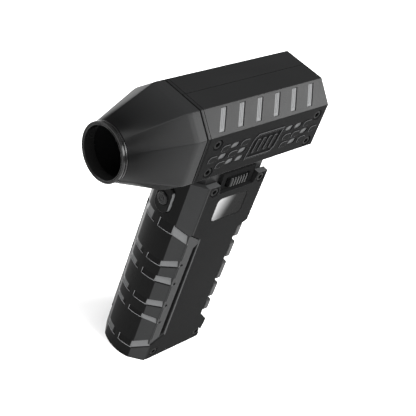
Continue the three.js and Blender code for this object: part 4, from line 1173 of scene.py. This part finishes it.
def addPlate(side):
    outer, inner = -handle["half"], -handle["half"] + plate["thick"]
    seam, bottom = handle["seam"] + plate["gap"], handle["bottom"]
    fall = plate["rear"] - plate["foot"]
    piece = trimmedBlock(f"grip_panel_{side}", (seam, outer, bottom), (plate["rear"], inner, plate["top"]),
                         [((plate["foot"], 0, bottom), (plate["taper"], 0, -fall))])
    carve(piece, plateCutters(side))
    cleanMesh(piece)
    editMesh(piece, lambda: bpy.ops.mesh.dissolve_limited(angle_limit=math.radians(1)))
    grip = handle["seam"] + flange["tongue"] + plate["gap"]

    def frontEdge(a, b):
        if a.y > outer + 0.01 or b.y > outer + 0.01:
            return False
        upper = abs(a.x - seam) < 0.02 and abs(b.x - seam) < 0.02
        inFlange = abs(a.x - grip) < 0.02 and abs(b.x - grip) < 0.02
        low, high = min(a.z, b.z), max(a.z, b.z)
        foot = low < flange["bottom"] + 1 and high < flange["bottom"] + 6 and max(a.x, b.x) < grip + 0.1
        return upper or inFlange or (foot and abs(a.x - b.x) > 3 and low > bottom + 5)

    pickEdges(piece, frontEdge)
    bevelPicked(plate["frontEdge"], 2)
    softEdges(piece, plate["edge"], 2)
    dressed(smoothed(piece), "shell")
    # painted shade: the side face of the plate gets the darker copy
    dressFaces(piece, "flat", lambda c, n: n.y < -0.95)
    # painted light on the plate's top faces, and a painted highlight on the slanted faces beside the flange
    dressFaces(piece, "accentDark", lambda c, n: (n.z > 0.9 and c.z > plate["top"] - 0.1)
               or (0.2 < -n.x < 0.95 and -n.y > 0.3 and abs(n.z) < 0.2 and seam + 5 < c.x < grip + 1.2))
    if side == "left":
        turned = mirrored(piece, "grip_panel_left")
        bpy.data.objects.remove(piece)
        turned.name = "grip_panel_left"
        piece = turned
    return standsFor(piece, "body", f"side_plate_{side}")


addPlate("right")
addPlate("left")


# display glass
def addLens():
    x0, x1, z0, z1, radius = plate["window"]
    gap = 0.15                           # round the glass, and how far it lies below the plate
    face = -handle["half"] + gap
    piece = roundedBlock("display_glass", (x0 + gap, face, z0 + gap), (x1 - gap, face + 2, z1 - gap),
                         radius - gap)
    pickEdges(piece, lambda a, b: a.y < face + 0.01 and b.y < face + 0.01)
    bevelPicked(0.35, 3)
    dressed(smoothed(piece), "lens")
    return standsFor(piece, "body", "display_lens")


addLens()

# speed slider: a knob with upright ribs
slider = {"x": (34.85, 45.55), "z": (-28.65, -23.45), "face": -14.7, "back": -9.6, "ribs": 6,
          "groove": 0.85, "depth": 1.0}


def addSlider():
    (x0, x1), (z0, z1) = slider["x"], slider["z"]
    piece = addBlock("speed_knob", (x0, slider["face"], z0), (x1, slider["back"], z1))
    pickEdges(piece, lambda a, b: a.y < slider["face"] + 0.01 and b.y < slider["face"] + 0.01)
    bevelPicked(0.7, 4)
    pitch = (x1 - x0) / slider["ribs"]
    level, stretch = spot(0, slider["face"], 0), 2 * slider["depth"] / slider["groove"]
    grooves = []
    for number in range(1, slider["ribs"]):
        x = x0 + pitch * number
        groove = addRod("groove", "z", slider["groove"] / 2, z0 - 2, z1 + 2, (x, slider["face"]), 24)
        groove.data.transform(Matrix.Translation(level) @ Matrix.Diagonal((1, stretch, 1, 1))
                              @ Matrix.Translation(-level))
        grooves.append(groove)
    carve(piece, grooves)
    softEdges(piece, 0.12, 2, 40)
    dressed(smoothed(piece), "button")
    return standsFor(piece, "slider", "speed_slider")


addSlider()

# rubber grip on the back of the handle
rubber = {"x": (57.2, 58.4), "half": 11.9, "low": -126.2, "high": -27, "padX": (55.4, 59.2), "padHalf": 14,
          "pads": [(-59.3, -66.3), (-71, -80), (-84.6, -95), (-99.2, -107.6), (-111.2, -117)],
          "padRound": 1.4, "grooveFrom": 58.75, "groove": 1, "coreHalf": 12.2}


def addRearGrip():
    (x0, x1), half = rubber["x"], rubber["half"]
    piece = addBlock("rear_rubber", (x0, -half, rubber["low"]), (x1, half, rubber["high"]))
    softEdges(piece, 0.4, 2)
    parts = []
    (near, far), wide, core = rubber["padX"], rubber["padHalf"], rubber["coreHalf"]
    for top, low in rubber["pads"]:
        pad = addBlock("pad", (near, -wide, low), (far, wide, top))
        pickEdges(pad, lambda a, b: abs(a.z - b.z) > 3 and a.x > 58)
        bevelPicked(rubber["padRound"], 4)
        softEdges(pad, 0.35, 2)
        middle, reach = (top + low) / 2, rubber["groove"] / 2
        groove = addBlock("groove", (rubber["grooveFrom"], -20, middle - reach), (61, 20, middle + reach))
        parts.append(carve(pad, [groove]))
    fuse(piece, parts)
    carve(piece, [addBlock("core_room", (40, -core, -140), (x0, core, -20))])
    dressed(smoothed(piece), "rubber")
    return standsFor(piece, "body", "rear_grip")


addRearGrip()
print("handle made")

# parts that keep the frame's shape, with softened edges
softened = {"handle_shell_right": ("neck_core_right", 0.2), "handle_shell_left": ("neck_core_left", 0.2),
            "base_cap": ("foot_panel", 0.3), "usb_c_socket": ("charge_socket", 0.08)}
for nodeName, (name, width) in softened.items():
    slotName = slotOf[nodeName]
    piece = dressed(refined(nodeName, name, width), slotName)
    if nodeName == "handle_shell_right":     # painted shade: the housing round the slider is made darker
        dressFaces(piece, "dark", lambda c, n: c.y < -13 and c.z > -31)
    standsFor(piece, "body", nodeName)
print("softened parts made")
